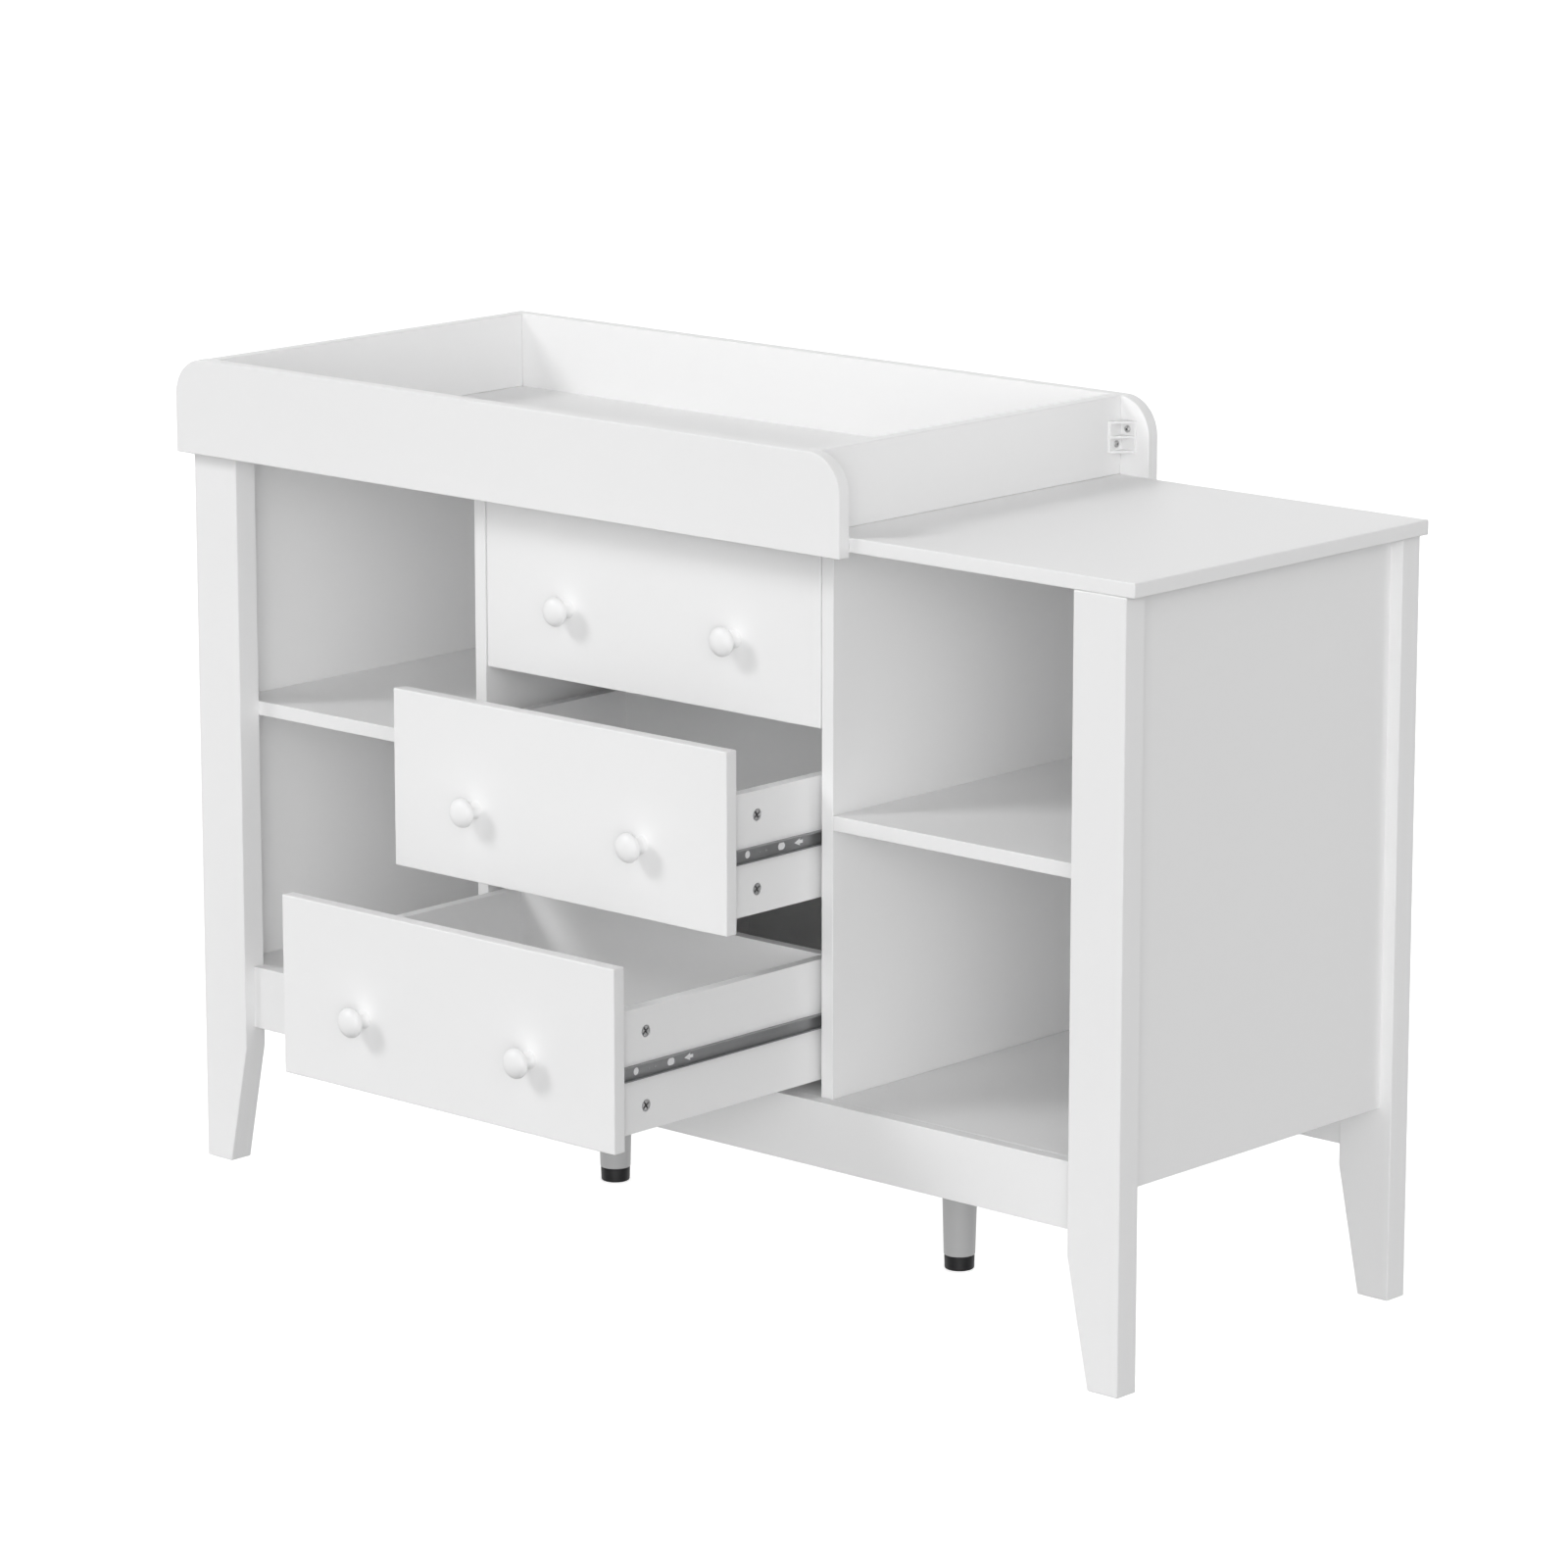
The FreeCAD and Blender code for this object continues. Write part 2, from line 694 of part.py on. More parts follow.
def make_cage(side, start, centre_z):
    """Ball cage of one slide: a thin C section with its balls in round holes."""
    half = size.ball_z + size.cage_gauge / 2
    edges = (size.cage_start, size.cage_end)
    cage = section_piece("cage", side, edges, half, (start, size.cage_length), centre_z, size.cage_gauge)
    first = start + (size.cage_length - (BALLS_PER_ROW - 1) * size.ball_pitch) / 2
    x = side * (drawer_side + size.ball_x)
    rows = [first + number * size.ball_pitch for number in range(BALLS_PER_ROW)]
    cage.drill("top", [(x, y) for y in rows], size.ball_dia + size.fit, 2 * half)
    balls = []
    for y in rows:
        for height in (centre_z - size.ball_z, centre_z + size.ball_z):
            ball = doc.addObject("Part::Sphere", "ball")
            bind(ball, "Radius", size.ball_dia / 2)
            place(ball, (x, y, height))
            balls.append(ball)
    return [cage.body] + balls


def make_knob(x, seat_y, z):
    """Turned mushroom knob with a flared foot and a screw hole."""
    seat = (x, seat_y, z)
    head_at = size.knob_reach - size.knob_head_half
    foot = cone("knob_foot", (size.knob_foot_dia, size.knob_neck_dia), size.knob_flare, seat, AHEAD)
    neck = cylinder("knob_neck", size.knob_neck_dia, head_at, seat, AHEAD)
    head = doc.addObject("Part::Ellipsoid", "knob_head")
    bind(head, "Radius1", size.knob_head_half)
    bind(head, "Radius2", size.knob_dia / 2)
    bind(head, "Radius3", size.knob_dia / 2)
    turn_towards(head, AHEAD)
    place(head, along(seat, AHEAD, head_at))
    bore = cylinder("knob_bore", size.knob_screw_dia + size.fit, size.knob_screw_in + size.fit, seat, AHEAD)
    return cut("knob", fuse("knob_blank", [foot, neck, head]), bore)


def make_drawer(name, front_z, front_height, opening, partitions):
    """One drawer with its knobs, fasteners and slides. Returns its channels by side and their screws."""
    front_width = size.bay_width - 2 * size.front_gap
    front_y = inner_front - opening
    behind = front_y + size.board  # back face of the front
    box_z = front_z + size.side_raise
    corner = (front_width * -0.5, front_y, front_z)
    face = board(f"{name}_drawer_front", corner, (front_width, size.board, front_height))
    face.round_edges(size.edge_round).publish()
    sides = {
        side: board(
            f"{name}_drawer_side_{word}",
            (side * (drawer_side - size.side_thick / 2) - size.side_thick / 2, behind, box_z),
            (size.side_thick, size.side_length, size.side_height),
        ).publish()
        for side, word in ((LEFT, "left"), (RIGHT, "right"))
    }
    inner = drawer_side - size.side_thick
    back_y = behind + size.drawer_back_at
    extent = (2 * inner, size.side_thick, size.side_height)
    back = board(f"{name}_drawer_back", (-1 * inner, back_y, box_z), extent).publish()
    make_floor(name, face, sides, back, inner, behind, back_y, box_z)
    group(f"{name}_drawer_cams", make_cams(face, sides, behind, front_z))
    knob_z = front_z + size.knob_raise
    knob_spots = [(side * size.knob_x, knob_z) for side in (LEFT, RIGHT)]
    group(f"{name}_drawer_knobs", [make_knob(x, front_y, z) for x, z in knob_spots])
    face.drill("back", knob_spots, size.knob_screw_dia + size.fit, size.board)
    head = (size.pan_head_dia, size.pan_head_height)
    shank = (size.knob_screw_dia, size.board + size.knob_screw_in)
    seat_y = behind + size.pan_head_height
    screws = [screw("knob_screw", head, shank, (x, seat_y, z), AHEAD) for x, z in knob_spots]
    screws += screw_back(sides, back, back_y + size.side_thick / 2, box_z)
    centre_z = front_z + size.slide_raise
    rails, cages, channels, channel_screws = [], [], {}, []
    for side in (LEFT, RIGHT):
        rail, rail_screws = make_rail(side, behind + size.slide_setback, centre_z, sides[side])
        rails.append(rail)
        screws += rail_screws
        cage_start = channel_front + size.cage_shut_at - opening / 2
        cages += make_cage(side, cage_start, centre_z)
        channels[side], held = make_channel(side, centre_z, partitions[side])
        channel_screws += held
    group(f"{name}_drawer_screws", screws)
    group(f"{name}_drawer_rails", rails)
    group(f"{name}_ball_cages", cages)
    return channels, channel_screws


def make_floor(name, face, sides, back, inner, behind, back_y, box_z):
    """Drawer bottom, held in grooves of the front, sides and back."""
    floor_z = box_z + size.floor_raise
    groove_low = floor_z - size.groove_play / 2
    groove_high = floor_z + size.floor_thick + size.groove_play / 2
    depth = size.groove + size.groove_play
    reach = inner + size.groove
    board(
        f"{name}_drawer_bottom",
        (-1 * reach, behind - size.groove, floor_z),
        (2 * reach, back_y - behind + 2 * size.groove, size.floor_thick),
    ).publish()
    side_end = behind + size.side_length
    run = rectangle((behind, groove_low), (side_end, groove_high))
    sides[LEFT].recess("right", run, depth)
    sides[RIGHT].recess("left", run, depth)
    play = reach + size.groove_play
    face.recess("back", rectangle((-1 * play, groove_low), (play, groove_high)), depth)
    back.recess("front", rectangle((-1 * inner, groove_low), (inner, groove_high)), depth)


def make_cams(face, sides, behind, front_z):
    """Cam locks in the drawer's sides and the bolts that they pull, which sit in the front."""
    parts = []
    heights = [front_z + size.cam_low, front_z + size.cam_high]
    bolt_hole = size.cam_bolt_dia + size.fit
    reach = size.cam_at - (size.cam_dia + bolt_hole) / 2
    for side, box_side in sides.items():
        outer_face = "right" if side == RIGHT else "left"
        y = behind + size.cam_at
        seats = [(y, z) for z in heights]
        box_side.drill(outer_face, seats, size.cam_dia + size.fit, size.cam_depth + size.fit)
        bolt_x = side * (drawer_side - size.side_thick / 2)
        spots = [(bolt_x, z) for z in heights]
        box_side.drill("front", spots, bolt_hole, size.cam_at)
        face.drill("back", spots, bolt_hole, size.cam_bolt_in_front + size.fit)
        for z in heights:
            cam_seat = (side * drawer_side, y, z)
            parts.append(cylinder("cam", size.cam_dia, size.cam_depth, cam_seat, (-side, 0, 0)))
            bolt_seat = (bolt_x, behind - size.cam_bolt_in_front, z)
            bolt_length = size.cam_bolt_in_front + reach
            parts.append(cylinder("cam_bolt", size.cam_bolt_dia, bolt_length, bolt_seat, BEHIND))
    return parts


def screw_back(sides, back, y, box_z):
    """Screws through the drawer's sides into the ends of its back, with sunk heads."""
    screws = []
    head = (size.back_screw_head, size.back_screw_sink)
    shank = (size.back_screw_dia, size.back_screw_length - size.back_screw_sink)
    spots = [(y, box_z + size.back_screw_low), (y, box_z + size.back_screw_high)]
    hole = size.back_screw_dia + size.fit
    for side, box_side in sides.items():
        outer_face = "right" if side == RIGHT else "left"
        box_side.drill(outer_face, spots, hole, size.side_thick)
        box_side.drill(outer_face, spots, size.back_screw_head + size.fit, size.back_screw_sink)
        back.drill(outer_face, spots, hole, size.back_screw_length - size.side_thick + size.fit)
        seats = [(side * drawer_side, y, z) for y, z in spots]
        screws += [screw("back_screw", head, shank, seat, (-side, 0, 0)) for seat in seats]
    return screws


def make_block(x_way, y_way, x, y, z):
    """Plastic corner block: two walls at a right angle, joined by three shelves that leave two pockets."""
    leg, wall, nib = size.block_leg, size.block_wall, size.block_nib
    low_x = x if x_way > 0 else x - leg
    low_y = y if y_way > 0 else y - leg
    block = Piece("corner_block", (low_x, low_y, z), (leg, leg, size.block_height))

    def spread(points):
        return [(x + x_way * Length(u), y + y_way * Length(v)) for u, v in points]

    walls = spread([(0, 0), (leg, 0), (leg, wall), (wall, wall), (wall, leg), (0, leg)])
    block.pad("XY_Plane", walls, 0, size.block_height)
    shelf = spread([(0, 0), (leg, 0), (leg, nib), (nib, leg), (0, leg)])
    for share in (0, 0.5, 1):
        block.pad("XY_Plane", shelf, share * (size.block_height - size.block_shelf), size.block_shelf)
    return block


def make_tray():
    """Four boards that stand over the top, held together by corner blocks outside the end boards."""
    low_x = case_left - size.top_overhang
    bottom = size.case_top - size.tray_lap
    extent = (size.tray_length, size.board, size.tray_rise + size.tray_lap)
    inner_faces = {NEAR: front - size.tray_play, FAR: front + size.case_depth + size.tray_play}
    rounded_height = float(extent[Z])

    def upper_corner(edge):
        return edge.CenterOfMass.z > rounded_height - 1 and edge.BoundBox.YLength > edge.BoundBox.XLength

    long_boards = {}
    for way, label, y in (
        (NEAR, "tray_front", inner_faces[NEAR] - size.board),
        (FAR, "tray_back", inner_faces[FAR]),
    ):
        long_boards[way] = board(label, (low_x, y, bottom), extent)
        long_boards[way].round_edges(size.tray_corner, upper_corner)
        long_boards[way].round_edges(size.edge_round).publish()
    end_extent = (size.board, inner_faces[FAR] - inner_faces[NEAR], size.tray_rise)
    left_end_x = low_x + size.tray_end_inset
    right_end_x = low_x + size.tray_length - size.tray_end_inset
    blocks, screws = [], []
    for side, name, end_x, outer_x in (
        (LEFT, "left", left_end_x, left_end_x),
        (RIGHT, "right", right_end_x - size.board, right_end_x),
    ):
        end = board(f"tray_end_{name}", (end_x, inner_faces[NEAR], size.case_top), end_extent).publish()
        for way, long_board in long_boards.items():
            corner = (outer_x, inner_faces[way], size.case_top + size.block_raise)
            block = make_block(side, way, *corner)
            screws += screw_block(block, side, way, end, long_board, *corner)
            blocks.append(block.body)
    group("tray_corner_blocks", blocks)
    group("tray_screws", screws)


def screw_block(block, side, way, end, long_board, x, y, z):
    """Two screws of a corner block: the upper one into the long board, the lower one into the end board."""
    hole = size.block_screw_dia + size.fit
    head = (size.block_screw_head, size.pan_head_height)
    shank = (size.block_screw_dia, size.block_wall + size.block_screw_in)
    lift = size.block_wall + size.pan_head_height
    upper = (x + side * size.block_screw_out, z + size.block_screw_high)
    lower = (y + way * size.block_screw_out, z + size.block_screw_low)
    wall_face, board_face = ("front", "back") if way == NEAR else ("back", "front")
    block.drill(wall_face, [upper], hole, size.block_wall)
    long_board.drill(board_face, [upper], hole, size.block_screw_in + size.fit)
    wall_face, board_face = ("left", "right") if side == RIGHT else ("right", "left")
    block.drill(wall_face, [lower], hole, size.block_wall)
    end.drill(board_face, [lower], hole, size.block_screw_in + size.fit)
    return [
        screw("block_screw", head, shank, (upper[0], y + way * lift, upper[1]), (0, -way, 0)),
        screw("block_screw", head, shank, (x + side * lift, lower[0], lower[1]), (-side, 0, 0)),
    ]


def check_document():
    """Stop if an object failed to build, a cut removed nothing, or a sub-part has no valid shape."""
    doc.recompute()
    for item in doc.Objects:
        if {"Invalid", "Error"} & set(item.State):
            raise RuntimeError(f"{item.Label} is {item.State}")
        if item.TypeId == "PartDesign::Pocket":
            removed = item.BaseFeature.Shape.Volume - item.Shape.Volume
            if removed < LEAST_CUT:
                raise RuntimeError(f"{item.Label} cuts nothing")
    for node in nodes:
        if node.Shape.isNull() or not node.Shape.isValid() or not node.Shape.Solids:
            raise RuntimeError(f"{node.Label} has no valid shape")


def write_nodes():
    """One STEP file for each sub-part, named after it."""
    os.makedirs("parts", exist_ok=True)
    for node in nodes:
        node.Shape.exportStep(f"parts/{node.Label}.step")
    print(f"{len(nodes)} sub-parts written")


def main():
    """Build the case, the drawers and the tray, then write every sub-part."""
    partitions = make_case()
    channels, channel_screws = {LEFT: [], RIGHT: []}, []
    for name in ("top", "middle", "bottom"):
        front_z, front_height, opening = (
            getattr(size, f"{name}_{word}") for word in ("front_z", "front_height", "open")
        )
        pair, screws = make_drawer(name, front_z, front_height, opening, partitions)
        channel_screws += screws
        for side, channel in pair.items():
            channels[side].append(channel)
    group("slide_channels_left", channels[LEFT])
    group("slide_channels_right", channels[RIGHT])
    group("channel_screws", channel_screws)
    make_tray()
    check_document()
    write_nodes()


main()
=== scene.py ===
"""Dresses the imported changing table: painted boards, turned knobs, steel slides and a lift-off tray."""

import logging
import math
from dataclasses import dataclass
from enum import Enum
from typing import Any, Sequence

import bmesh
import bpy
from mathutils import Matrix, Vector


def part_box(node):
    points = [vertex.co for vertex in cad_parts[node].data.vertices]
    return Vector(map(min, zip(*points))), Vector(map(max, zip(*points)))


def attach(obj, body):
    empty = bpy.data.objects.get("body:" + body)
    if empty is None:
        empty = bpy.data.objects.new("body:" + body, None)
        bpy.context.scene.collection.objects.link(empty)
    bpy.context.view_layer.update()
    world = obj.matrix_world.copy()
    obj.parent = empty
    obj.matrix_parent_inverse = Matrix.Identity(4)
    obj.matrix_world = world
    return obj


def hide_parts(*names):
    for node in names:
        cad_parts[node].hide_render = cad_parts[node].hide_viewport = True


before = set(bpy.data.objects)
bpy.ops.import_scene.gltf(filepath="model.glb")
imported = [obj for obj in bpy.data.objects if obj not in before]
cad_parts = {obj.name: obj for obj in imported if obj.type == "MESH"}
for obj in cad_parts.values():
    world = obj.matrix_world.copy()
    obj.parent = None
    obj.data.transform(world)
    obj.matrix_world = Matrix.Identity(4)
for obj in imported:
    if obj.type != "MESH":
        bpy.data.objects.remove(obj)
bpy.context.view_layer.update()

LOG = logging.getLogger("changing_table")
MM = 0.001
X, Y, Z = range(3)
AHEAD = Vector((0.0, -1.0, 0.0))

WELD = 1e-6
HAIR = 0.02 * MM
NEARLY_FLAT = math.radians(8.0)
UP = Vector((0.0, 0.0, 1.0))

Outline = Sequence[tuple[float, float]]
Triple = tuple[float, float, float]
Colour = Triple


class Slot(Enum):
    """The material slots that the finishes name."""

    BOARD = "painted_board"
    KNOB = "painted_knob"
    SHEET = "painted_sheet"
    LEG = "painted_leg"
    RUBBER = "foot_rubber"
    DOWEL = "beech_dowel"
    CAM = "cam_zinc"
    SLIDE = "slide_steel"
    CAGE = "cage_steel"
    PLASTIC = "white_plastic"
    SCREW = "zinc_steel"


class Level(Enum):
    """The three drawers."""

    TOP = "top"
    MIDDLE = "middle"
    BOTTOM = "bottom"


class Side(Enum):
    """The two sides of the table, with the sign of X on each."""

    LEFT = -1
    RIGHT = 1


# Nodes ---------------------------------------------------------------------------------------------


class Value:
    """A node's output that takes part in sums; an expression on it adds its Math nodes."""

    def __init__(self, net: "Net", socket: bpy.types.NodeSocket) -> None:
        """Keeps the output and the net that it belongs to."""
        self.net = net
        self.socket = socket

    def __add__(self, other: "Value | float") -> "Value":
        """Self plus other."""
        return self.net.maths("ADD", self, other)

    def __radd__(self, other: float) -> "Value":
        """Other plus self."""
        return self.net.maths("ADD", other, self)

    def __sub__(self, other: "Value | float") -> "Value":
        """Self less other."""
        return self.net.maths("SUBTRACT", self, other)

    def __rsub__(self, other: float) -> "Value":
        """Other less self."""
        return self.net.maths("SUBTRACT", other, self)

    def __mul__(self, other: "Value | float") -> "Value":
        """Self times other."""
        return self.net.maths("MULTIPLY", self, other)

    def __rmul__(self, other: float) -> "Value":
        """Other times self."""
        return self.net.maths("MULTIPLY", other, self)

    def __pow__(self, other: float) -> "Value":
        """Self to a power."""
        return self.net.maths("POWER", self, other)


class Net:
    """A node tree and the one way that nodes are added to it."""

    def __init__(self, tree: bpy.types.NodeTree) -> None:
        """Keeps the tree."""
        self.tree = tree

    def node(
        self,
        kind: str,
        settings: dict[str, Any] | None = None,
        sockets: dict[str | int, Any] | None = None,
    ) -> bpy.types.Node:
        """Adds a node.

        Args:
            kind: The node's type.
            settings: Its own settings, set first.
            sockets: Numbers or links for its inputs, by name, identifier or place.

        Returns:
            The node.
        """
        made = self.tree.nodes.new(kind)
        for name, value in (settings or {}).items():
            setattr(made, name, value)
        for key, value in (sockets or {}).items():
            named = (socket for socket in made.inputs if key in (socket.identifier, socket.name))
            target = made.inputs[key] if isinstance(key, int) else next(named)
            if isinstance(value, Value):
                self.tree.links.new(value.socket, target)
            else:
                target.default_value = value
        return made

    def value(
        self,
        kind: str,
        settings: dict[str, Any] | None = None,
        sockets: dict[str | int, Any] | None = None,
        output: str | int = 0,
    ) -> Value:
        """Adds a node and gives one of its outputs.

        Args:
            kind: The node's type.
            settings: Its own settings.
            sockets: Numbers or links for its inputs.
            output: The output's name or place.

        Returns:
            The output, ready for sums.
        """
        return Value(self, self.node(kind, settings, sockets).outputs[output])

    def maths(self, operation: str, first: Value | float, second: Value | float) -> Value:
        """A Math node on two values."""
        return self.value("ShaderNodeMath", {"operation": operation}, {0: first, 1: second})

    def noise(self, place: Value, scale: float, detail: float = 2.0, roughness: float = 0.5) -> Value:
        """A noise pattern, from 0 to 1, on a place."""
        numbers = {"Vector": place, "Scale": scale, "Detail": detail, "Roughness": roughness}
        return self.value("ShaderNodeTexNoise", None, numbers)

    def mark(self, name: str) -> Value:
        """A number that the mesh carries at each point."""
        return self.value("ShaderNodeAttribute", {"attribute_name": name}, output="Fac")

    def stretched(self, place: Value, scale: Triple) -> Value:
        """A place with each axis scaled, which draws a pattern out."""
        return self.value("ShaderNodeMapping", None, {"Vector": place, "Scale": scale})

    def blend(self, factor: Value, dark: Colour, light: Colour) -> Value:
        """A colour between two, by a factor from 0 to 1."""
        colours = {"Factor_Float": factor, "A_Color": (*dark, 1.0), "B_Color": (*light, 1.0)}
        return self.value("ShaderNodeMix", {"data_type": "RGBA"}, colours, 2)

    def bump(self, height: Value, distance: float, strength: float) -> Value:
        """A normal from a height pattern, whose full height is the distance."""
        numbers = {"Height": height, "Distance": distance, "Strength": strength}
        return self.value("ShaderNodeBump", None, numbers)


# Finishes ------------------------------------------------------------------------------------------


@dataclass(frozen=True)
class Finish:
    """A finish: its slot, its darkest and lightest colour, and the numbers that hold all over it."""

    name: str
    slot: Slot
    dark: Colour
    light: Colour
    roughness: float
    metallic: float = 0.0
    specular: float = 0.5
    bump_strength: float = 0.5

    def material(self) -> bpy.types.Material:
        """The finish's material, made the first time it is asked for.

        Returns:
            The material.
        """
        known = bpy.data.materials.get(self.name)
        if known is not None:
            return known
        made = bpy.data.materials.new(self.name)
        made.use_nodes = True
        made.diffuse_color = (*self.light, 1.0)
        net = Net(made.node_tree)
        shader = made.node_tree.nodes["Principled BSDF"]
        shader.inputs["Metallic"].default_value = self.metallic
        shader.inputs["Specular IOR Level"].default_value = self.specular
        place = net.value("ShaderNodeTexCoord", output="Object")
        for name, value in self.shade(net, place).items():
            net.tree.links.new(value.socket, shader.inputs[name])
        return made

    def shade(self, net: Net, place: Value) -> dict[str, Value]:
        """What varies over the surface.

        Args:
            net: The material's nodes.
            place: The object coordinates.

        Returns:
            The shader's inputs by name.
        """
        raise NotImplementedError


@dataclass(frozen=True)
class SatinPaint(Finish):
    """Sprayed satin paint: faint orange peel, drifts of tone, and edges rubbed a little smoother."""

    peel_scale: float = 520.0
    peel_depth: float = 0.06 * MM
    drift_scale: float = 5.0
    mist_scale: float = 90.0
    tone: float = 0.25
    drift_tone: float = 0.4
    mist_tone: float = 0.2
    rub_tone: float = 0.25
    mist_gloss: float = 0.10
    drift_gloss: float = 0.06
    rub_gloss: float = 0.05
    mist_height: float = 0.35

    def peel(self, net: Net, place: Value) -> Value:
        """The orange peel's pattern."""
        return net.noise(place, self.peel_scale, detail=2.0, roughness=0.4)

    def shade(self, net: Net, place: Value) -> dict[str, Value]:
        """Drifting tone, patchy gloss and orange peel.

        Args:
            net: The material's nodes.
            place: The object coordinates.

        Returns:
            The shader's inputs by name.
        """
        drift = net.noise(place, self.drift_scale, detail=3.0)
        mist = net.noise(place, self.mist_scale, detail=4.0, roughness=0.6)
        rub = net.mark("rub")
        tone = self.tone + self.drift_tone * drift + self.mist_tone * mist - self.rub_tone * rub
        gloss = self.roughness + self.mist_gloss * (mist - 0.5)
        gloss = gloss + self.drift_gloss * (drift - 0.5) - self.rub_gloss * rub
        height = self.peel(net, place) + self.mist_height * mist
        return {
            "Base Color": net.blend(tone, self.dark, self.light),
            "Roughness": gloss,
            "Normal": net.bump(height, self.peel_depth, self.bump_strength),
        }


@dataclass(frozen=True)
class TurnedPaint(SatinPaint):
    """Paint on turned wood: the lathe's faint rings show through it."""

    ring_scale: float = 700.0
    ring_stretch: Triple = (0.08, 1.0, 0.08)
    ring_height: float = 0.5

    def shade(self, net: Net, place: Value) -> dict[str, Value]:
        """Satin paint with rings across the turning.

        Args:
            net: The material's nodes.
            place: The object coordinates.

        Returns:
            The shader's inputs by name.
        """
        varied = super().shade(net, place)
        rings = net.noise(net.stretched(place, self.ring_stretch), self.ring_scale, detail=1.0)
        height = self.peel(net, place) + self.ring_height * rings
        varied["Normal"] = net.bump(height, self.peel_depth, self.bump_strength)
        return varied


@dataclass(frozen=True)
class MouldedRubber(Finish):
    """Black rubber with a dusty, speckled skin."""

    dust_scale: float = 140.0
    dust_power: float = 2.0
    dust_gloss: float = 0.25
    grain_scale: float = 1800.0
    grain_depth: float = 0.1 * MM

    def shade(self, net: Net, place: Value) -> dict[str, Value]:
        """Dust and a fine moulded grain.

        Args:
            net: The material's nodes.
            place: The object coordinates.

        Returns:
            The shader's inputs by name.
        """
        dust = net.noise(place, self.dust_scale, detail=5.0, roughness=0.65)
        grain = net.noise(place, self.grain_scale, detail=2.0)
        return {
            "Base Color": net.blend(dust**self.dust_power, self.dark, self.light),
            "Roughness": self.roughness + self.dust_gloss * (dust - 0.5),
            "Normal": net.bump(grain, self.grain_depth, self.bump_strength),
        }


@dataclass(frozen=True)
class RolledSteel(Finish):
    """Plated sheet steel with the mill's fine lines drawn along it."""

    line_scale: float = 900.0
    line_stretch: Triple = (1.0, 0.015, 1.0)
    line_gloss: float = 0.18
    line_depth: float = 0.03 * MM
    cloud_scale: float = 60.0
    cloud_gloss: float = 0.12

    def shade(self, net: Net, place: Value) -> dict[str, Value]:
        """Rolling lines, and cloudy plating.

        Args:
            net: The material's nodes.
            place: The object coordinates.

        Returns:
            The shader's inputs by name.
        """
        drawn = net.stretched(place, self.line_stretch)
        lines = net.noise(drawn, self.line_scale, detail=3.0, roughness=0.6)
        cloud = net.noise(place, self.cloud_scale, detail=4.0, roughness=0.6)
        gloss = self.roughness + self.line_gloss * (lines - 0.5) + self.cloud_gloss * (cloud - 0.5)
        return {
            "Base Color": net.blend(0.5 * lines + 0.5 * cloud, self.dark, self.light),
            "Roughness": gloss,
            "Normal": net.bump(lines, self.line_depth, self.bump_strength),
        }


@dataclass(frozen=True)
class CastZinc(Finish):
    """Die-cast zinc: grey and grainy, with painted shade that turns the bottom of its slots black."""

    grain_scale: float = 1400.0
    grain_tone: float = 0.2
    grain_depth: float = 0.08 * MM
    patch_scale: float = 260.0
    patch_tone: float = 0.3
    patch_gloss: float = 0.2

    def shade(self, net: Net, place: Value) -> dict[str, Value]:
        """Casting grain and dull patches, and the painted shade at the bottom of the slots.

        Args:
            net: The material's nodes.
            place: The object coordinates.

        Returns:
            The shader's inputs by name.
        """
        grain = net.noise(place, self.grain_scale, detail=3.0, roughness=0.6)
        patch = net.noise(place, self.patch_scale, detail=3.0)
        # painted shade: the tone falls to black where the slots go down
        tone = (0.5 + self.grain_tone * grain + self.patch_tone * patch) * (1.0 - net.mark("pit"))
        return {
            "Base Color": net.blend(tone, self.dark, self.light),
            "Roughness": self.roughness + self.patch_gloss * (patch - 0.5),
            "Normal": net.bump(grain, self.grain_depth, self.bump_strength),
        }


@dataclass(frozen=True)
class MouldedPlastic(Finish):
    """Moulded plastic with a finely sparked skin."""

    spark_scale: float = 2200.0
    spark_gloss: float = 0.1
    spark_depth: float = 0.05 * MM
    flow_scale: float = 120.0
    flow_stretch: Triple = (1.0, 1.0, 0.3)

    def shade(self, net: Net, place: Value) -> dict[str, Value]:
        """A fine skin, and faint flow marks.

        Args:
            net: The material's nodes.
            place: The object coordinates.

        Returns:
            The shader's inputs by name.
        """
        spark = net.noise(place, self.spark_scale, detail=2.0)
        flow = net.noise(net.stretched(place, self.flow_stretch), self.flow_scale, detail=2.0)
        return {
            "Base Color": net.blend(flow, self.dark, self.light),
            "Roughness": self.roughness + self.spark_gloss * (spark - 0.5),
            "Normal": net.bump(spark, self.spark_depth, self.bump_strength),
        }


@dataclass(frozen=True)
class BeechWood(Finish):
    """Bare beech: short dark flecks in straight pale grain."""

    grain_scale: float = 420.0
    grain_stretch: Triple = (1.0, 1.0, 0.2)
    grain_gloss: float = 0.15
    grain_depth: float = 0.1 * MM
    fleck_scale: float = 1300.0
    fleck_power: float = 3.0
    fleck_tone: float = 0.8

    def shade(self, net: Net, place: Value) -> dict[str, Value]:
        """Grain and flecks.

        Args:
            net: The material's nodes.
            place: The object coordinates.

        Returns:
            The shader's inputs by name.
        """
        drawn = net.stretched(place, self.grain_stretch)
        grain = net.noise(drawn, self.grain_scale, detail=4.0, roughness=0.6)
        fleck = net.noise(place, self.fleck_scale, detail=1.0) ** self.fleck_power
        return {
            "Base Color": net.blend(grain - self.fleck_tone * fleck, self.dark, self.light),
            "Roughness": self.roughness + self.grain_gloss * (grain - 0.5),
            "Normal": net.bump(grain, self.grain_depth, self.bump_strength),
        }


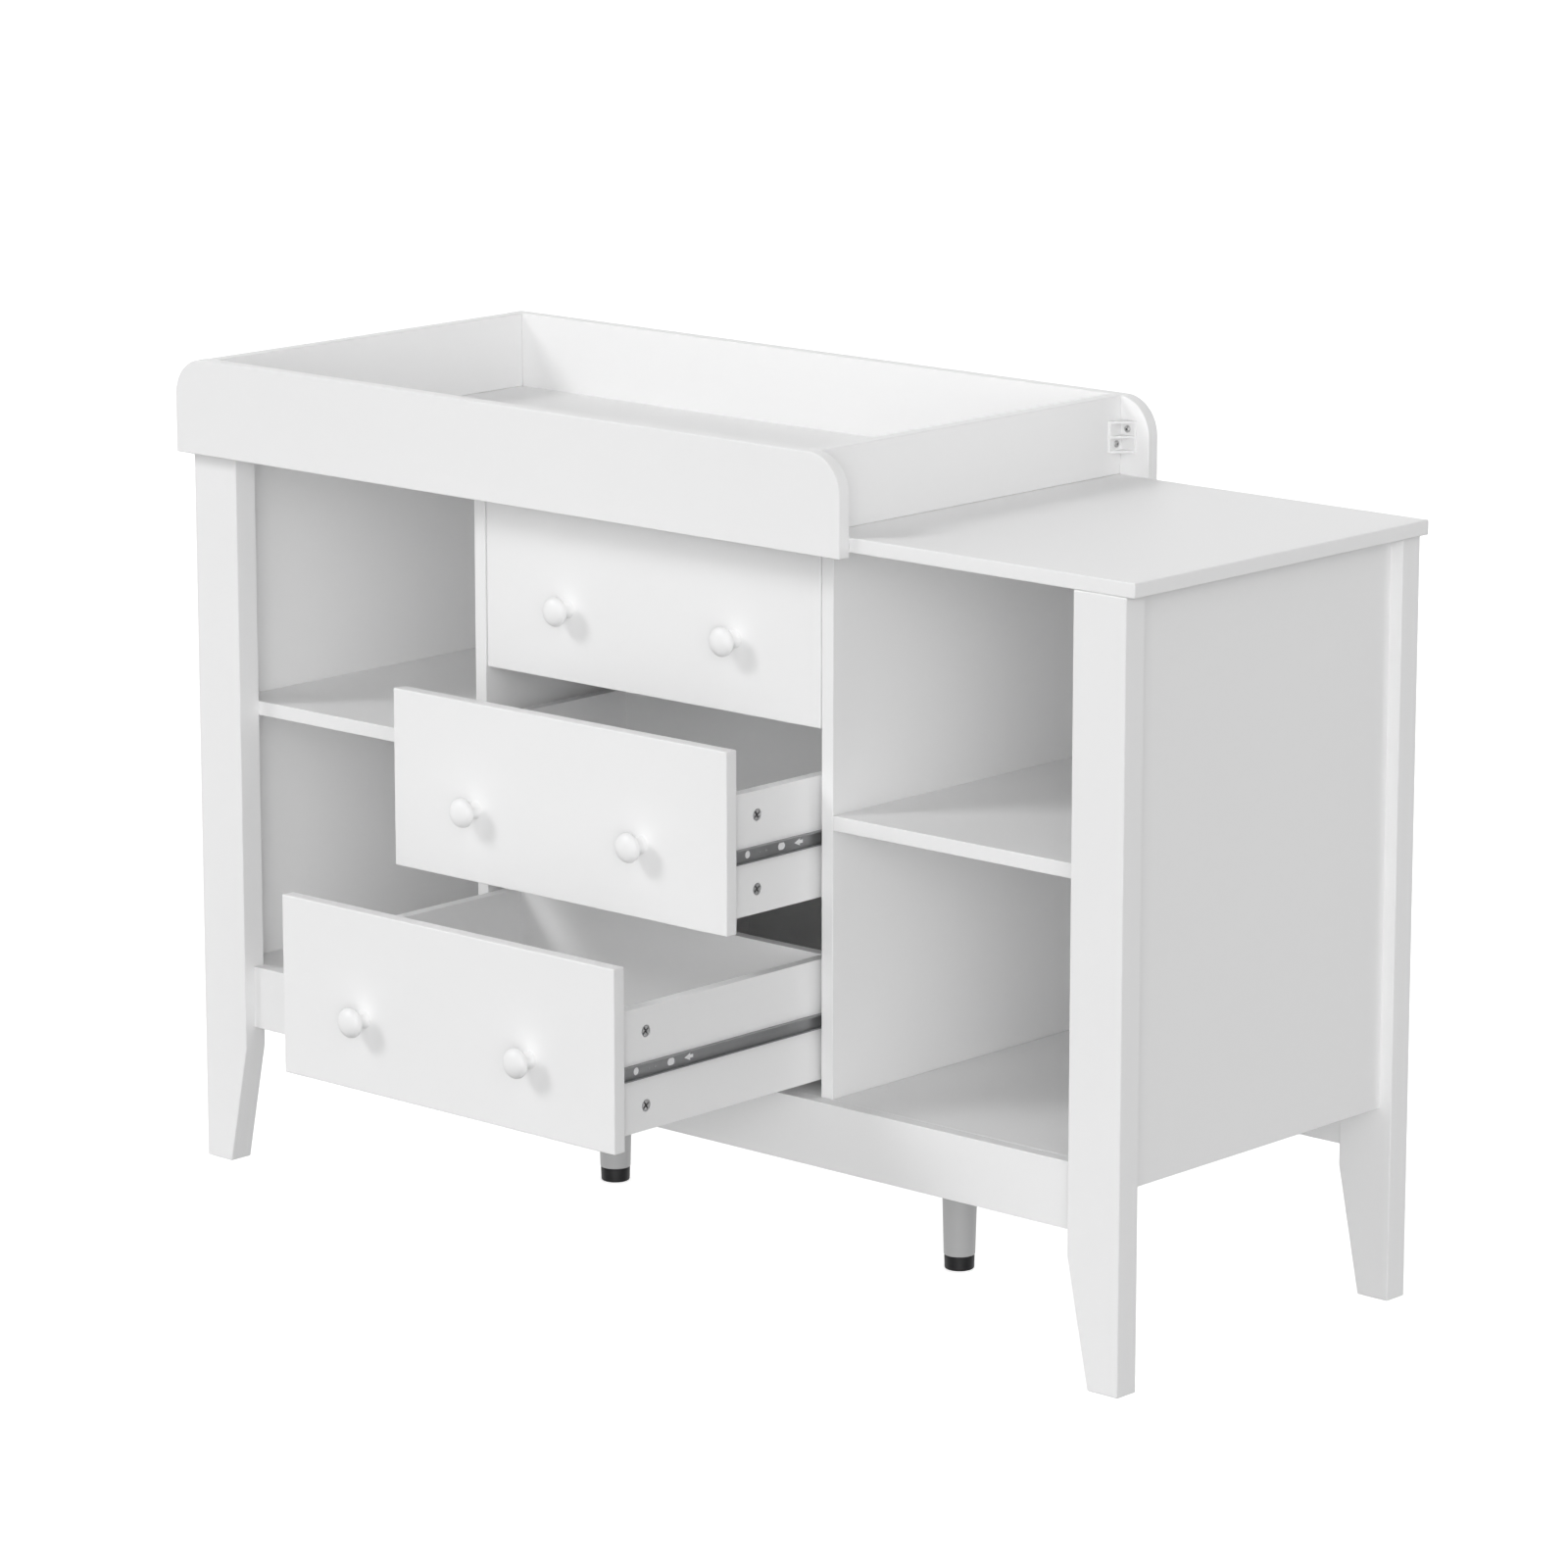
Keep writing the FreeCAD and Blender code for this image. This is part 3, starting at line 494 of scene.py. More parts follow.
BOARD_PAINT = SatinPaint("board_paint", Slot.BOARD, (0.905, 0.905, 0.907), (0.945, 0.945, 0.945), 0.46)
LEG_PAINT = SatinPaint(
    "leg_paint", Slot.LEG, (0.900, 0.900, 0.903), (0.945, 0.945, 0.945), 0.44, drift_scale=8.0
)
SHEET_PAINT = SatinPaint(
    "sheet_paint", Slot.SHEET, (0.890, 0.890, 0.894), (0.935, 0.935, 0.935), 0.52,
    peel_scale=800.0, mist_scale=160.0,
)
KNOB_PAINT = TurnedPaint("knob_paint", Slot.KNOB, (0.910, 0.910, 0.912), (0.950, 0.950, 0.950), 0.36)
CENTRE_LEG_PAINT = TurnedPaint(
    "centre_leg_paint", Slot.LEG, (0.560, 0.562, 0.566), (0.620, 0.621, 0.623), 0.40
)
FOOT_RUBBER = MouldedRubber(
    "foot_rubber_skin", Slot.RUBBER, (0.008, 0.008, 0.009), (0.030, 0.030, 0.032), 0.5
)
SLIDE_STEEL = RolledSteel(
    "slide_zinc_plate", Slot.SLIDE, (0.290, 0.293, 0.300), (0.450, 0.453, 0.460), 0.46, metallic=0.8
)
CAGE_STEEL = RolledSteel(
    "cage_bright_steel", Slot.CAGE, (0.380, 0.380, 0.385), (0.560, 0.560, 0.565), 0.3, metallic=0.95
)
BALL_STEEL = CastZinc(
    "ball_chrome", Slot.CAGE, (0.300, 0.300, 0.305), (0.680, 0.680, 0.685), 0.16,
    metallic=1.0, bump_strength=0.1,
)
# The near-black dark colour is reached only in the painted shade at the bottom of the slot.
CAM_ZINC = CastZinc(
    "cam_cast_zinc", Slot.CAM, (0.020, 0.020, 0.021), (0.740, 0.740, 0.745), 0.40, metallic=0.7
)
# The near-black dark colour is reached only in the painted shade at the bottom of the slot.
SCREW_ZINC = CastZinc(
    "screw_zinc_plate", Slot.SCREW, (0.040, 0.040, 0.042), (0.760, 0.760, 0.760), 0.3,
    metallic=0.9, bump_strength=0.25,
)
BLOCK_PLASTIC = MouldedPlastic(
    "block_plastic", Slot.PLASTIC, (0.880, 0.880, 0.882), (0.930, 0.930, 0.930), 0.4
)
DOWEL_BEECH = BeechWood("dowel_beech_wood", Slot.DOWEL, (0.430, 0.270, 0.150), (0.700, 0.520, 0.340), 0.6)


# Making meshes -------------------------------------------------------------------------------------


def as_object(name: str, work: bmesh.types.BMesh, finish: Finish) -> bpy.types.Object:
    """Makes an object of a bmesh, with smooth faces that point outwards, and frees the bmesh.

    Args:
        name: The object's name.
        work: Its mesh, which is freed.
        finish: What it is made of.

    Returns:
        The object, in the scene.
    """
    bmesh.ops.recalc_face_normals(work, faces=work.faces)
    for face in work.faces:
        face.smooth = True
    mesh = bpy.data.meshes.new(name)
    work.to_mesh(mesh)
    work.free()
    mesh.materials.append(finish.material())
    made = bpy.data.objects.new(name, mesh)
    bpy.context.scene.collection.objects.link(made)
    return made


def discard(piece: bpy.types.Object) -> None:
    """Takes away an object that was only needed while another was made, and its mesh.

    Args:
        piece: The object.
    """
    mesh = piece.data
    bpy.data.objects.remove(piece)
    bpy.data.meshes.remove(mesh)


def settle(piece: bpy.types.Object) -> bpy.types.Object:
    """Turns a piece's modifiers into one plain mesh, and takes them off.

    Args:
        piece: An object with modifiers.

    Returns:
        The same object.
    """
    graph = bpy.context.evaluated_depsgraph_get()
    plain = bpy.data.meshes.new_from_object(
        piece.evaluated_get(graph), preserve_all_data_layers=True, depsgraph=graph
    )
    rough = piece.data
    plain.name = piece.name
    piece.modifiers.clear()
    piece.data = plain
    bpy.data.meshes.remove(rough)
    return piece


def soften(
    piece: bpy.types.Object, radius: float, segments: int = 3, limit: float = math.radians(30.0)
) -> bpy.types.Object:
    """Rounds a piece's edges, keeps its flats flat, and marks the roundings as rubbed.

    Args:
        piece: An object with one material and no modifiers.
        radius: How far the rounding reaches from each edge.
        segments: Faces across a rounding.
        limit: Edges that turn less than this stay as they are.

    Returns:
        The piece, as a plain mesh.
    """
    mesh = piece.data
    mesh.materials.append(mesh.materials[0])
    work = bmesh.new()
    work.from_mesh(mesh)
    for edge in work.edges:
        edge.smooth = not NEARLY_FLAT < edge.calc_face_angle(0.0) < limit
    work.to_mesh(mesh)
    work.free()
    bevel = piece.modifiers.new("rounding", "BEVEL")
    bevel.width, bevel.segments = radius, segments
    bevel.limit_method, bevel.angle_limit = "ANGLE", limit
    bevel.material = 1
    flats = piece.modifiers.new("flats", "WEIGHTED_NORMAL")
    flats.mode, flats.keep_sharp = "FACE_AREA", True
    settle(piece)
    mesh = piece.data
    rubbed = [1.0] * len(mesh.vertices)
    for face in mesh.polygons:
        if face.material_index == 0:
            for corner in face.vertices:
                rubbed[corner] = 0.0
        face.material_index = 0
    mesh.attributes.new("rub", "FLOAT", "POINT").data.foreach_set("value", rubbed)
    mesh.materials.pop(index=1)
    return piece


def carve(piece: bpy.types.Object, tool: bpy.types.Object) -> bpy.types.Object:
    """Cuts a tool's shape out of a piece, and takes the tool away.

    Args:
        piece: What is cut.
        tool: The shape that is cut out of it.

    Returns:
        The piece, as a plain mesh.
    """
    cut = piece.modifiers.new("cut", "BOOLEAN")
    cut.operation, cut.solver, cut.object = "DIFFERENCE", "EXACT", tool
    settle(piece)
    discard(tool)
    return piece


def block(low: Vector, high: Vector) -> bmesh.types.BMesh:
    """A box between two corners.

    Args:
        low: The corner with the least X, Y and Z.
        high: The corner across from it.

    Returns:
        The box.
    """
    work = bmesh.new()
    bmesh.ops.create_cube(work, size=1.0)
    for vertex in work.verts:
        vertex.co = Vector(high[axis] if vertex.co[axis] > 0 else low[axis] for axis in range(3))
    return work


def spot(axis: int, level: float, point: tuple[float, float]) -> Vector:
    """A place from its level along an axis and its point on the other two axes, in their order.

    Args:
        axis: The axis.
        level: Where the place is on it.
        point: Where it is on the other two.

    Returns:
        The place.
    """
    values = list(point)
    values.insert(axis, level)
    return Vector(values)


def prism(
    outline: Outline, axis: int, start: float, end: float, work: bmesh.types.BMesh | None = None
) -> bmesh.types.BMesh:
    """An outline drawn out along an axis.

    Args:
        outline: Points on the other two axes, in their order.
        axis: The axis it is drawn along.
        start: Where it starts on that axis.
        end: Where it ends.
        work: A bmesh to add it to.

    Returns:
        The bmesh with the prism in it.
    """
    work = work or bmesh.new()
    levels = (start, end)
    near, far = ([work.verts.new(spot(axis, level, point)) for point in outline] for level in levels)
    work.faces.new(near)
    work.faces.new(reversed(far))
    for index in range(len(outline)):
        after = (index + 1) % len(outline)
        work.faces.new((near[index], near[after], far[after], far[index]))
    return work


def arc(centre: tuple[float, float], radius: float, start: float, end: float, steps: int) -> Outline:
    """Points along an arc, from one angle to another, in degrees."""
    turns = (math.radians(start + (end - start) * step / steps) for step in range(steps + 1))
    return [(centre[0] + radius * math.cos(turn), centre[1] + radius * math.sin(turn)) for turn in turns]


def turned(profile: Outline, steps: int) -> bmesh.types.BMesh:
    """A profile of (radius, height) turned about Z; it starts and ends on the axis.

    Args:
        profile: The points, with a radius of 0 at each end.
        steps: Faces round the axis.

    Returns:
        The bmesh with the closed shape in it.
    """
    work = bmesh.new()
    rings: list[list[bmesh.types.BMVert]] = []
    for radius, height in profile:
        if radius <= 0.0:
            rings.append([work.verts.new((0.0, 0.0, height))])
            continue
        around = arc((0.0, 0.0), radius, 0.0, 360.0, steps)[:steps]
        rings.append([work.verts.new((x, y, height)) for x, y in around])
    for lower, upper in zip(rings, rings[1:]):
        for index in range(steps):
            after = (index + 1) % steps
            if len(lower) == 1:
                work.faces.new((lower[0], upper[after], upper[index]))
            elif len(upper) == 1:
                work.faces.new((lower[index], lower[after], upper[0]))
            else:
                work.faces.new((lower[index], lower[after], upper[after], upper[index]))
    return work


def add_ball(work: bmesh.types.BMesh, middle: Vector, radius: float, steps: int) -> None:
    """Adds a ball to a bmesh.

    Args:
        work: The bmesh.
        middle: The ball's middle.
        radius: Its radius.
        steps: Faces round its equator; there are four fewer from pole to pole.
    """
    where = Matrix.Translation(middle)
    bmesh.ops.create_uvsphere(work, u_segments=steps, v_segments=steps - 4, radius=radius, matrix=where)


def shade_slot_bottom(piece: bpy.types.Object, depth: float, reach: float) -> bpy.types.Object:
    """Marks the bottom of a fastener's slot for painted shade.

    Args:
        piece: A fastener that faces +Z.
        depth: The painted shade reaches from this far below the origin to twice as far.
        reach: How far the painted shade reaches from the axis.

    Returns:
        The piece, with its attribute for the painted shade.
    """
    places = [vertex.co for vertex in piece.data.vertices]
    # painted shade: points deep in the slot are marked to be shown black
    shade_marks = [float(depth < -place.z < 2.0 * depth and place.xy.length < reach) for place in places]
    piece.data.attributes.new("pit", "FLOAT", "POINT").data.foreach_set("value", shade_marks)
    return piece


def crisp(piece: bpy.types.Object, limit: float = 35.0) -> bpy.types.Object:
    """Keeps a piece's smooth shading from running over edges that turn more than a limit in degrees."""
    piece.data.set_sharp_from_angle(angle=math.radians(limit))
    return piece


def join(name: str, parts: Sequence[bpy.types.Object], finish: Finish) -> bpy.types.Object:
    """Makes one object of several with the same finish, and takes the several away.

    Args:
        name: The object's name.
        parts: What it is made of.
        finish: Their finish.

    Returns:
        The object.
    """
    work = bmesh.new()
    for part in parts:
        work.from_mesh(part.data)
        discard(part)
    return as_object(name, work, finish)


def cad_mesh(node: str) -> bmesh.types.BMesh:
    """A CAD node's mesh, with its faces joined at their corners.

    Args:
        node: The CAD node.

    Returns:
        A copy of its mesh.
    """
    work = bmesh.new()
    work.from_mesh(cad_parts[node].data)
    bmesh.ops.remove_doubles(work, verts=work.verts, dist=WELD)
    return work


def refined(node: str, name: str, radius: float, finish: Finish) -> bpy.types.Object:
    """A copy of a CAD node's shape with its edges rounded.

    Args:
        node: The CAD node.
        name: The new piece's name.
        radius: The rounding of its edges.
        finish: What it is made of.

    Returns:
        The new piece.
    """
    work = cad_mesh(node)
    flat = math.radians(0.5)
    bmesh.ops.dissolve_limit(work, angle_limit=flat, verts=work.verts, edges=work.edges)
    return soften(as_object(name, work, finish), radius, 2)


def eased_steel(piece: bpy.types.Object, radius: float = 0.15 * MM) -> bpy.types.Object:
    """Takes the burr off the edges of bent sheet steel, and leaves its bends alone."""
    return soften(piece, radius, 1, math.radians(40.0))


def deliver(piece: bpy.types.Object, body: str, finish: Finish, *nodes: str) -> None:
    """Sets a piece on its body in place of its CAD nodes, and reports it.

    Args:
        piece: The piece.
        body: The body it rides.
        finish: What it is made of; not used.
        nodes: The CAD nodes it replaces.
    """
    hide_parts(*nodes)
    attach(piece, body)
    LOG.info("%s: %d faces, on %s", piece.name, len(piece.data.polygons), body)


def paint_board(node: str, body: str, finish: Finish, radius: float, segments: int = 3) -> None:
    """Makes a square-cut board from its CAD box, with rounded edges, and delivers it.

    Args:
        node: The CAD node.
        body: The body it rides.
        finish: What it is made of.
        radius: The rounding of its edges.
        segments: Faces across a rounding.
    """
    board = as_object(f"painted_{node}", block(*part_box(node)), finish)
    deliver(soften(board, radius, segments), body, finish, node)


# Finding and setting out what repeats --------------------------------------------------------------


@dataclass(frozen=True)
class Seat:
    """A fastener's place: the middle of its outer end, the way that faces, and its measures."""

    place: Vector
    way: Vector
    length: float
    head_radius: float
    shank_radius: float
    head_height: float

    def size(self) -> tuple[float, ...]:
        """Its measures in millimetres to one decimal place, to tell one kind from another."""
        measures = (self.length, self.head_radius, self.shank_radius, self.head_height)
        return tuple(round(measure / MM, 1) for measure in measures)


class Island:
    """One solid of a CAD node."""

    def __init__(self, points: list[Vector]) -> None:
        """Keeps its points and its box.

        Args:
            points: The corners of the solid.
        """
        self.points = points
        self.low = Vector(min(point[axis] for point in points) for axis in range(3))
        self.high = Vector(max(point[axis] for point in points) for axis in range(3))
        self.middle = (self.low + self.high) / 2

    def extent(self, axis: int) -> float:
        """Its length along an axis."""
        return self.high[axis] - self.low[axis]

    def girth(self, axis: int, level: float) -> float:
        """How far its points at a level of an axis lie from its middle line.

        Args:
            axis: The axis, along which the middle line runs.
            level: The level, give or take a hair.

        Returns:
            The greatest distance, or 0 with no point there.
        """
        inside = [point - self.middle for point in self.points if abs(point[axis] - level) <= HAIR]
        for offset in inside:
            offset[axis] = 0.0
        return max((offset.length for offset in inside), default=0.0)

    def seat(self, way: Vector | None = None) -> Seat:
        """Its seat as a fastener.

        Args:
            way: The way its outer end faces; without it that is the wider end of its longest axis.

        Returns:
            The seat.
        """
        if way is None:
            axis = max(range(3), key=self.extent)
            wider = self.girth(axis, self.high[axis]) > self.girth(axis, self.low[axis])
            way = Vector((0.0, 0.0, 0.0))
            way[axis] = 1.0 if wider else -1.0
        axis = max(range(3), key=lambda other: abs(way[other]))
        outer, inner = (self.high, self.low) if way[axis] > 0 else (self.low, self.high)
        end, back = outer[axis], inner[axis]
        head, shank = self.girth(axis, end), self.girth(axis, back)
        levels = [point[axis] for point in self.points]
        wide = [abs(level - end) for level in levels if self.girth(axis, level) > shank + HAIR]
        place = self.middle.copy()
        place[axis] = end
        return Seat(place, way, abs(end - back), head, shank, max(wide, default=0.0))


def islands(node: str) -> list[Island]:
    """The solids of a CAD node, in order of X, Y and Z.

    Args:
        node: The CAD node.

    Returns:
        The solids.
    """
    work = cad_mesh(node)
    left = set(work.verts)
    found = []
    while left:
        border, group = [left.pop()], []
        while border:
            vertex = border.pop()
            group.append(vertex.co.copy())
            fresh = {link.other_vert(vertex) for link in vertex.link_edges} & left
            left -= fresh
            border += fresh
        found.append(Island(group))
    work.free()
    return sorted(found, key=lambda island: tuple(round(value, 5) for value in island.middle))


class SettingOut:
    """A Geometry Nodes tree that sets copies of one fastener at its seats."""

    def __init__(self, seed: int = 7) -> None:
        """Builds the tree, with a fixed seed for how far each copy is turned.

        Args:
            seed: What the turns are drawn from.
        """
        tree = bpy.data.node_groups.new("set out fasteners", "GeometryNodeTree")
        self.tree = tree
        tree.interface.new_socket("Geometry", in_out="OUTPUT", socket_type="NodeSocketGeometry")
        kinds = {
            "Geometry": "NodeSocketGeometry",
            "Fastener": "NodeSocketObject",
            "Finish": "NodeSocketMaterial",
            "Turn": "NodeSocketFloat",
            "Seed": "NodeSocketInt",
        }
        self.keys = {
            name: tree.interface.new_socket(name, in_out="INPUT", socket_type=kind).identifier
            for name, kind in kinds.items()
        }
        self.seed = seed
        net = Net(tree)
        given = net.node("NodeGroupInput")
        asked = {name: Value(net, given.outputs[name]) for name in kinds}
        points = net.value("GeometryNodeMeshToPoints", None, {"Mesh": asked["Geometry"]})
        stance = self.stance(net, asked["Turn"], asked["Seed"])
        original = {"transform_space": "ORIGINAL"}
        pattern = net.value("GeometryNodeObjectInfo", original, {"Object": asked["Fastener"]}, "Geometry")
        links = {"Points": points, "Instance": pattern, "Rotation": stance}
        copies = net.value("GeometryNodeInstanceOnPoints", None, links)
        real = net.value("GeometryNodeRealizeInstances", None, {"Geometry": copies})
        coat = {"Geometry": real, "Material": asked["Finish"]}
        painted = net.value("GeometryNodeSetMaterial", None, coat)
        net.node("NodeGroupOutput", None, {"Geometry": painted})

    def stance(self, net: Net, turn: Value, seed: Value) -> Value:
        """Each copy's rotation: along its seat's way, and turned about that by chance.

        Args:
            net: The tree.
            turn: How far a copy may be turned.
            seed: What the chance is drawn from.

        Returns:
            The rotation.
        """
        way = net.value("GeometryNodeInputNamedAttribute", {"data_type": "FLOAT_VECTOR"}, {"Name": "way"})
        facing = net.value("FunctionNodeAlignRotationToVector", {"axis": "Z"}, {"Vector": way})
        limits = {"Min_001": 0.0, "Max_001": turn, "Seed": seed}
        drawn = net.node("FunctionNodeRandomValue", {"data_type": "FLOAT"}, limits)
        chance = Value(net, next(out for out in drawn.outputs if out.identifier == "Value_001"))
        spin = net.value("FunctionNodeAxisAngleToRotation", None, {"Axis": UP, "Angle": chance})
        local = {"rotation_space": "LOCAL"}
        return net.value("FunctionNodeRotateRotation", local, {"Rotation": facing, "Rotate By": spin})

    def fit(
        self,
        name: str,
        body: str,
        node: str,
        pattern: bpy.types.Object,
        seats: Sequence[Seat],
        finish: Finish,
        turn: float = 0.0,
    ) -> None:
        """Sets a pattern at seats, as one plain mesh, delivers that, and takes the pattern away.

        Args:
            name: The new piece's name.
            body: The body it rides.
            node: The CAD node it replaces.
            pattern: One fastener whose outer end is at the origin and faces +Z.
            seats: Where the copies go.
            finish: What they are made of.
            turn: How far each may be turned about its own axis, in radians.
        """
        mesh = bpy.data.meshes.new(name)
        mesh.from_pydata([seat.place for seat in seats], [], [])
        ways = mesh.attributes.new("way", "FLOAT_VECTOR", "POINT")
        ways.data.foreach_set("vector", [number for seat in seats for number in seat.way])
        piece = bpy.data.objects.new(name, mesh)
        bpy.context.scene.collection.objects.link(piece)
        setter = piece.modifiers.new("set out", "NODES")
        setter.node_group = self.tree
        inputs = {"Fastener": pattern, "Finish": finish.material(), "Turn": turn, "Seed": self.seed}
        for key, value in inputs.items():
            setter[self.keys[key]] = value
        settle(piece)
        for spare in [layer.name for layer in piece.data.attributes if layer.name in ("way", "id")]:
            piece.data.attributes.remove(piece.data.attributes[spare])
        discard(pattern)
        deliver(piece, body, finish, node)


# Fasteners -----------------------------------------------------------------------------------------

# The share of a slot's depth below which the slot gets painted shade.
SLOT_SHADE_SHARE = 0.9


def cross_tool(name: str, reach: float, width: float, depth: float, finish: Finish) -> bpy.types.Object:
    """A cross-headed driver's tip that reaches down from just above the origin.

    Args:
        name: The object's name.
        reach: How far each wing reaches from the axis.
        width: How wide a wing is.
        depth: How deep the tip goes.
        finish: What the cut faces are made of.

    Returns:
        The tip, as one closed shape that narrows towards its end.
    """
    above, half, narrowing = 0.6 * MM, width / 2, 0.8
    quarter = ((reach, -half), (reach, half), (half, half))
    outline = []
    for number in range(4):
        turn = Matrix.Rotation(number * math.pi / 2, 2)
        outline += [tuple(turn @ Vector(point)) for point in quarter]
    work = prism(outline, Z, -depth, above)
    for vertex in work.verts:
        if vertex.co.z < 0.0:
            vertex.co.x *= narrowing
            vertex.co.y *= narrowing
    return as_object(name, work, finish)


@dataclass(frozen=True)
class Screw:
    """A cross-head screw made to a seat's measures: domed head, threaded shank, pointed tip.

    The head's measures are shares of its height or radius, and the shank's of its own radius.
    """

    seat: Seat
    dome: float = 0.35
    rim_depth: float = 0.9
    underside: float = 0.97
    slot_depth: float = 0.75
    slot_reach: float = 0.62
    slot_width: float = 0.24
    # how far from the axis the slot's painted shade reaches, as a share of the head's radius
    slot_shade_reach: float = 0.7
    neck: float = 0.4 * MM
    thread_pitch: float = 1.5 * MM
    thread_depth: float = 0.12
    tip_length: float = 2.0
    tip_radius: float = 0.15
    steps: int = 20

    def profile(self) -> Outline:
        """Radius and height, from the middle of the dome to the tip.

        Returns:
            The points.
        """
        seat = self.seat
        rim, height = seat.head_radius, seat.head_height
        turns = [math.radians(15.0 * step) for step in range(1, 7)]
        dome = [(rim * math.sin(turn), -self.dome * height * (1.0 - math.cos(turn))) for turn in turns]
        points = [(0.0, 0.0), *dome, (rim, -height * self.rim_depth), (rim * self.underside, -height)]
        shank, core = seat.shank_radius, seat.shank_radius * (1.0 - self.thread_depth)
        start, tip = -height - self.neck, -(seat.length - self.tip_length * shank)
        ridges = max(2, int((start - tip) / self.thread_pitch))
        drop = (tip - start) / ridges
        points.append((core, -height))
        for number in range(ridges):
            points += [(core, start + number * drop), (shank, start + (number + 0.5) * drop)]
        return [*points, (core, tip), (shank * self.tip_radius, -seat.length), (0.0, -seat.length)]

    def pattern(self) -> bpy.types.Object:
        """One screw at the origin, facing +Z.

        Returns:
            The screw.
        """
        rim = self.seat.head_radius
        body = as_object("screw_pattern", turned(self.profile(), self.steps), SCREW_ZINC)
        depth = min(self.seat.head_height * self.slot_depth, rim * 0.5)
        tool = cross_tool("driver", rim * self.slot_reach, rim * self.slot_width, depth, SCREW_ZINC)
        # The bottom of the cross slot gets painted shade.
        return crisp(shade_slot_bottom(carve(body, tool), depth * SLOT_SHADE_SHARE, rim * self.slot_shade_reach))


@dataclass(frozen=True)
class CamLock:
    """The round body of a cam lock, with the groove inside its rim and its wide cross slot."""

    radius: float = 5.85 * MM
    depth: float = 9.3 * MM
    sunk: float = 0.4 * MM
    slot_reach: float = 4.7 * MM
    slot_width: float = 1.9 * MM
    slot_depth: float = 4.5 * MM
    slot_turn: float = math.radians(32.0)
    rim: Outline = ((0.84, 0.0), (0.87, 0.5), (0.93, 0.5), (0.95, 0.0), (0.98, 0.1), (1.0, 0.3))
    steps: int = 32

    def pattern(self) -> bpy.types.Object:
        """One cam lock at the origin, facing +Z; its rim is shares of the radius and drops in mm.

        Returns:
            The cam lock.
        """
        profile = [(0.0, -self.sunk)]
        profile += [(self.radius * share, -self.sunk - drop * MM) for share, drop in self.rim]
        profile += [(self.radius, -self.depth), (0.0, -self.depth)]
        body = as_object("cam_pattern", turned(profile, self.steps), CAM_ZINC)
        tool = cross_tool("wide_driver", self.slot_reach, self.slot_width, self.slot_depth, CAM_ZINC)
        tool.data.transform(Matrix.Rotation(self.slot_turn, 4, "Z"))
        # The bottom of the wide cross slot gets painted shade.
        return crisp(shade_slot_bottom(carve(body, tool), self.slot_depth * SLOT_SHADE_SHARE, self.slot_reach))


@dataclass(frozen=True)
class Bolt:
    """A plain bolt or pin with ridges round it and eased ends, made to a seat's measures."""

    seat: Seat
    ridge: float = 0.08
    ease: float = 0.2
    pitch: float = 1.25 * MM
    steps: int = 16

    def pattern(self, finish: Finish) -> bpy.types.Object:
        """One bolt at the origin, facing +Z.

        Args:
            finish: What it is made of.

        Returns:
            The bolt.
        """
        full = max(self.seat.head_radius, self.seat.shank_radius)
        core, ease = full * (1.0 - self.ridge), full * self.ease
        start, end = -ease, -self.seat.length + ease
        turns = max(2, int((start - end) / self.pitch))
        drop = (end - start) / turns
        profile = [(0.0, 0.0), (full - ease, 0.0), (core, start)]
        for number in range(turns):
            profile += [(full, start + (number + 0.5) * drop), (core, start + (number + 1) * drop)]
        profile += [(full - ease, -self.seat.length), (0.0, -self.seat.length)]
        return crisp(as_object("bolt_pattern", turned(profile, self.steps), finish))


@dataclass(frozen=True)
class FlutedDowel:
    """A beech dowel with flutes pressed along it and chamfered ends."""

    seat: Seat
    flutes: int = 10
    flute_depth: float = 0.07
    chamfer: float = 1.2 * MM

    def pattern(self) -> bpy.types.Object:
        """One dowel at the origin, facing +Z.

        Returns:
            The dowel.
        """
        full, length = self.seat.shank_radius, self.seat.length
        steps, small = self.flutes * 2, full - self.chamfer
        profile = [(0.0, 0.0), (small, 0.0), (full, -self.chamfer)]
        profile += [(full, -length + self.chamfer), (small, -length), (0.0, -length)]
        work = turned(profile, steps)
        for vertex in work.verts:
            turn = math.degrees(math.atan2(vertex.co.y, vertex.co.x)) * steps / 360.0
            if round(turn) % 2:
                vertex.co.x *= 1.0 - self.flute_depth
                vertex.co.y *= 1.0 - self.flute_depth
        return crisp(as_object("dowel_pattern", work, DOWEL_BEECH), 15.0)


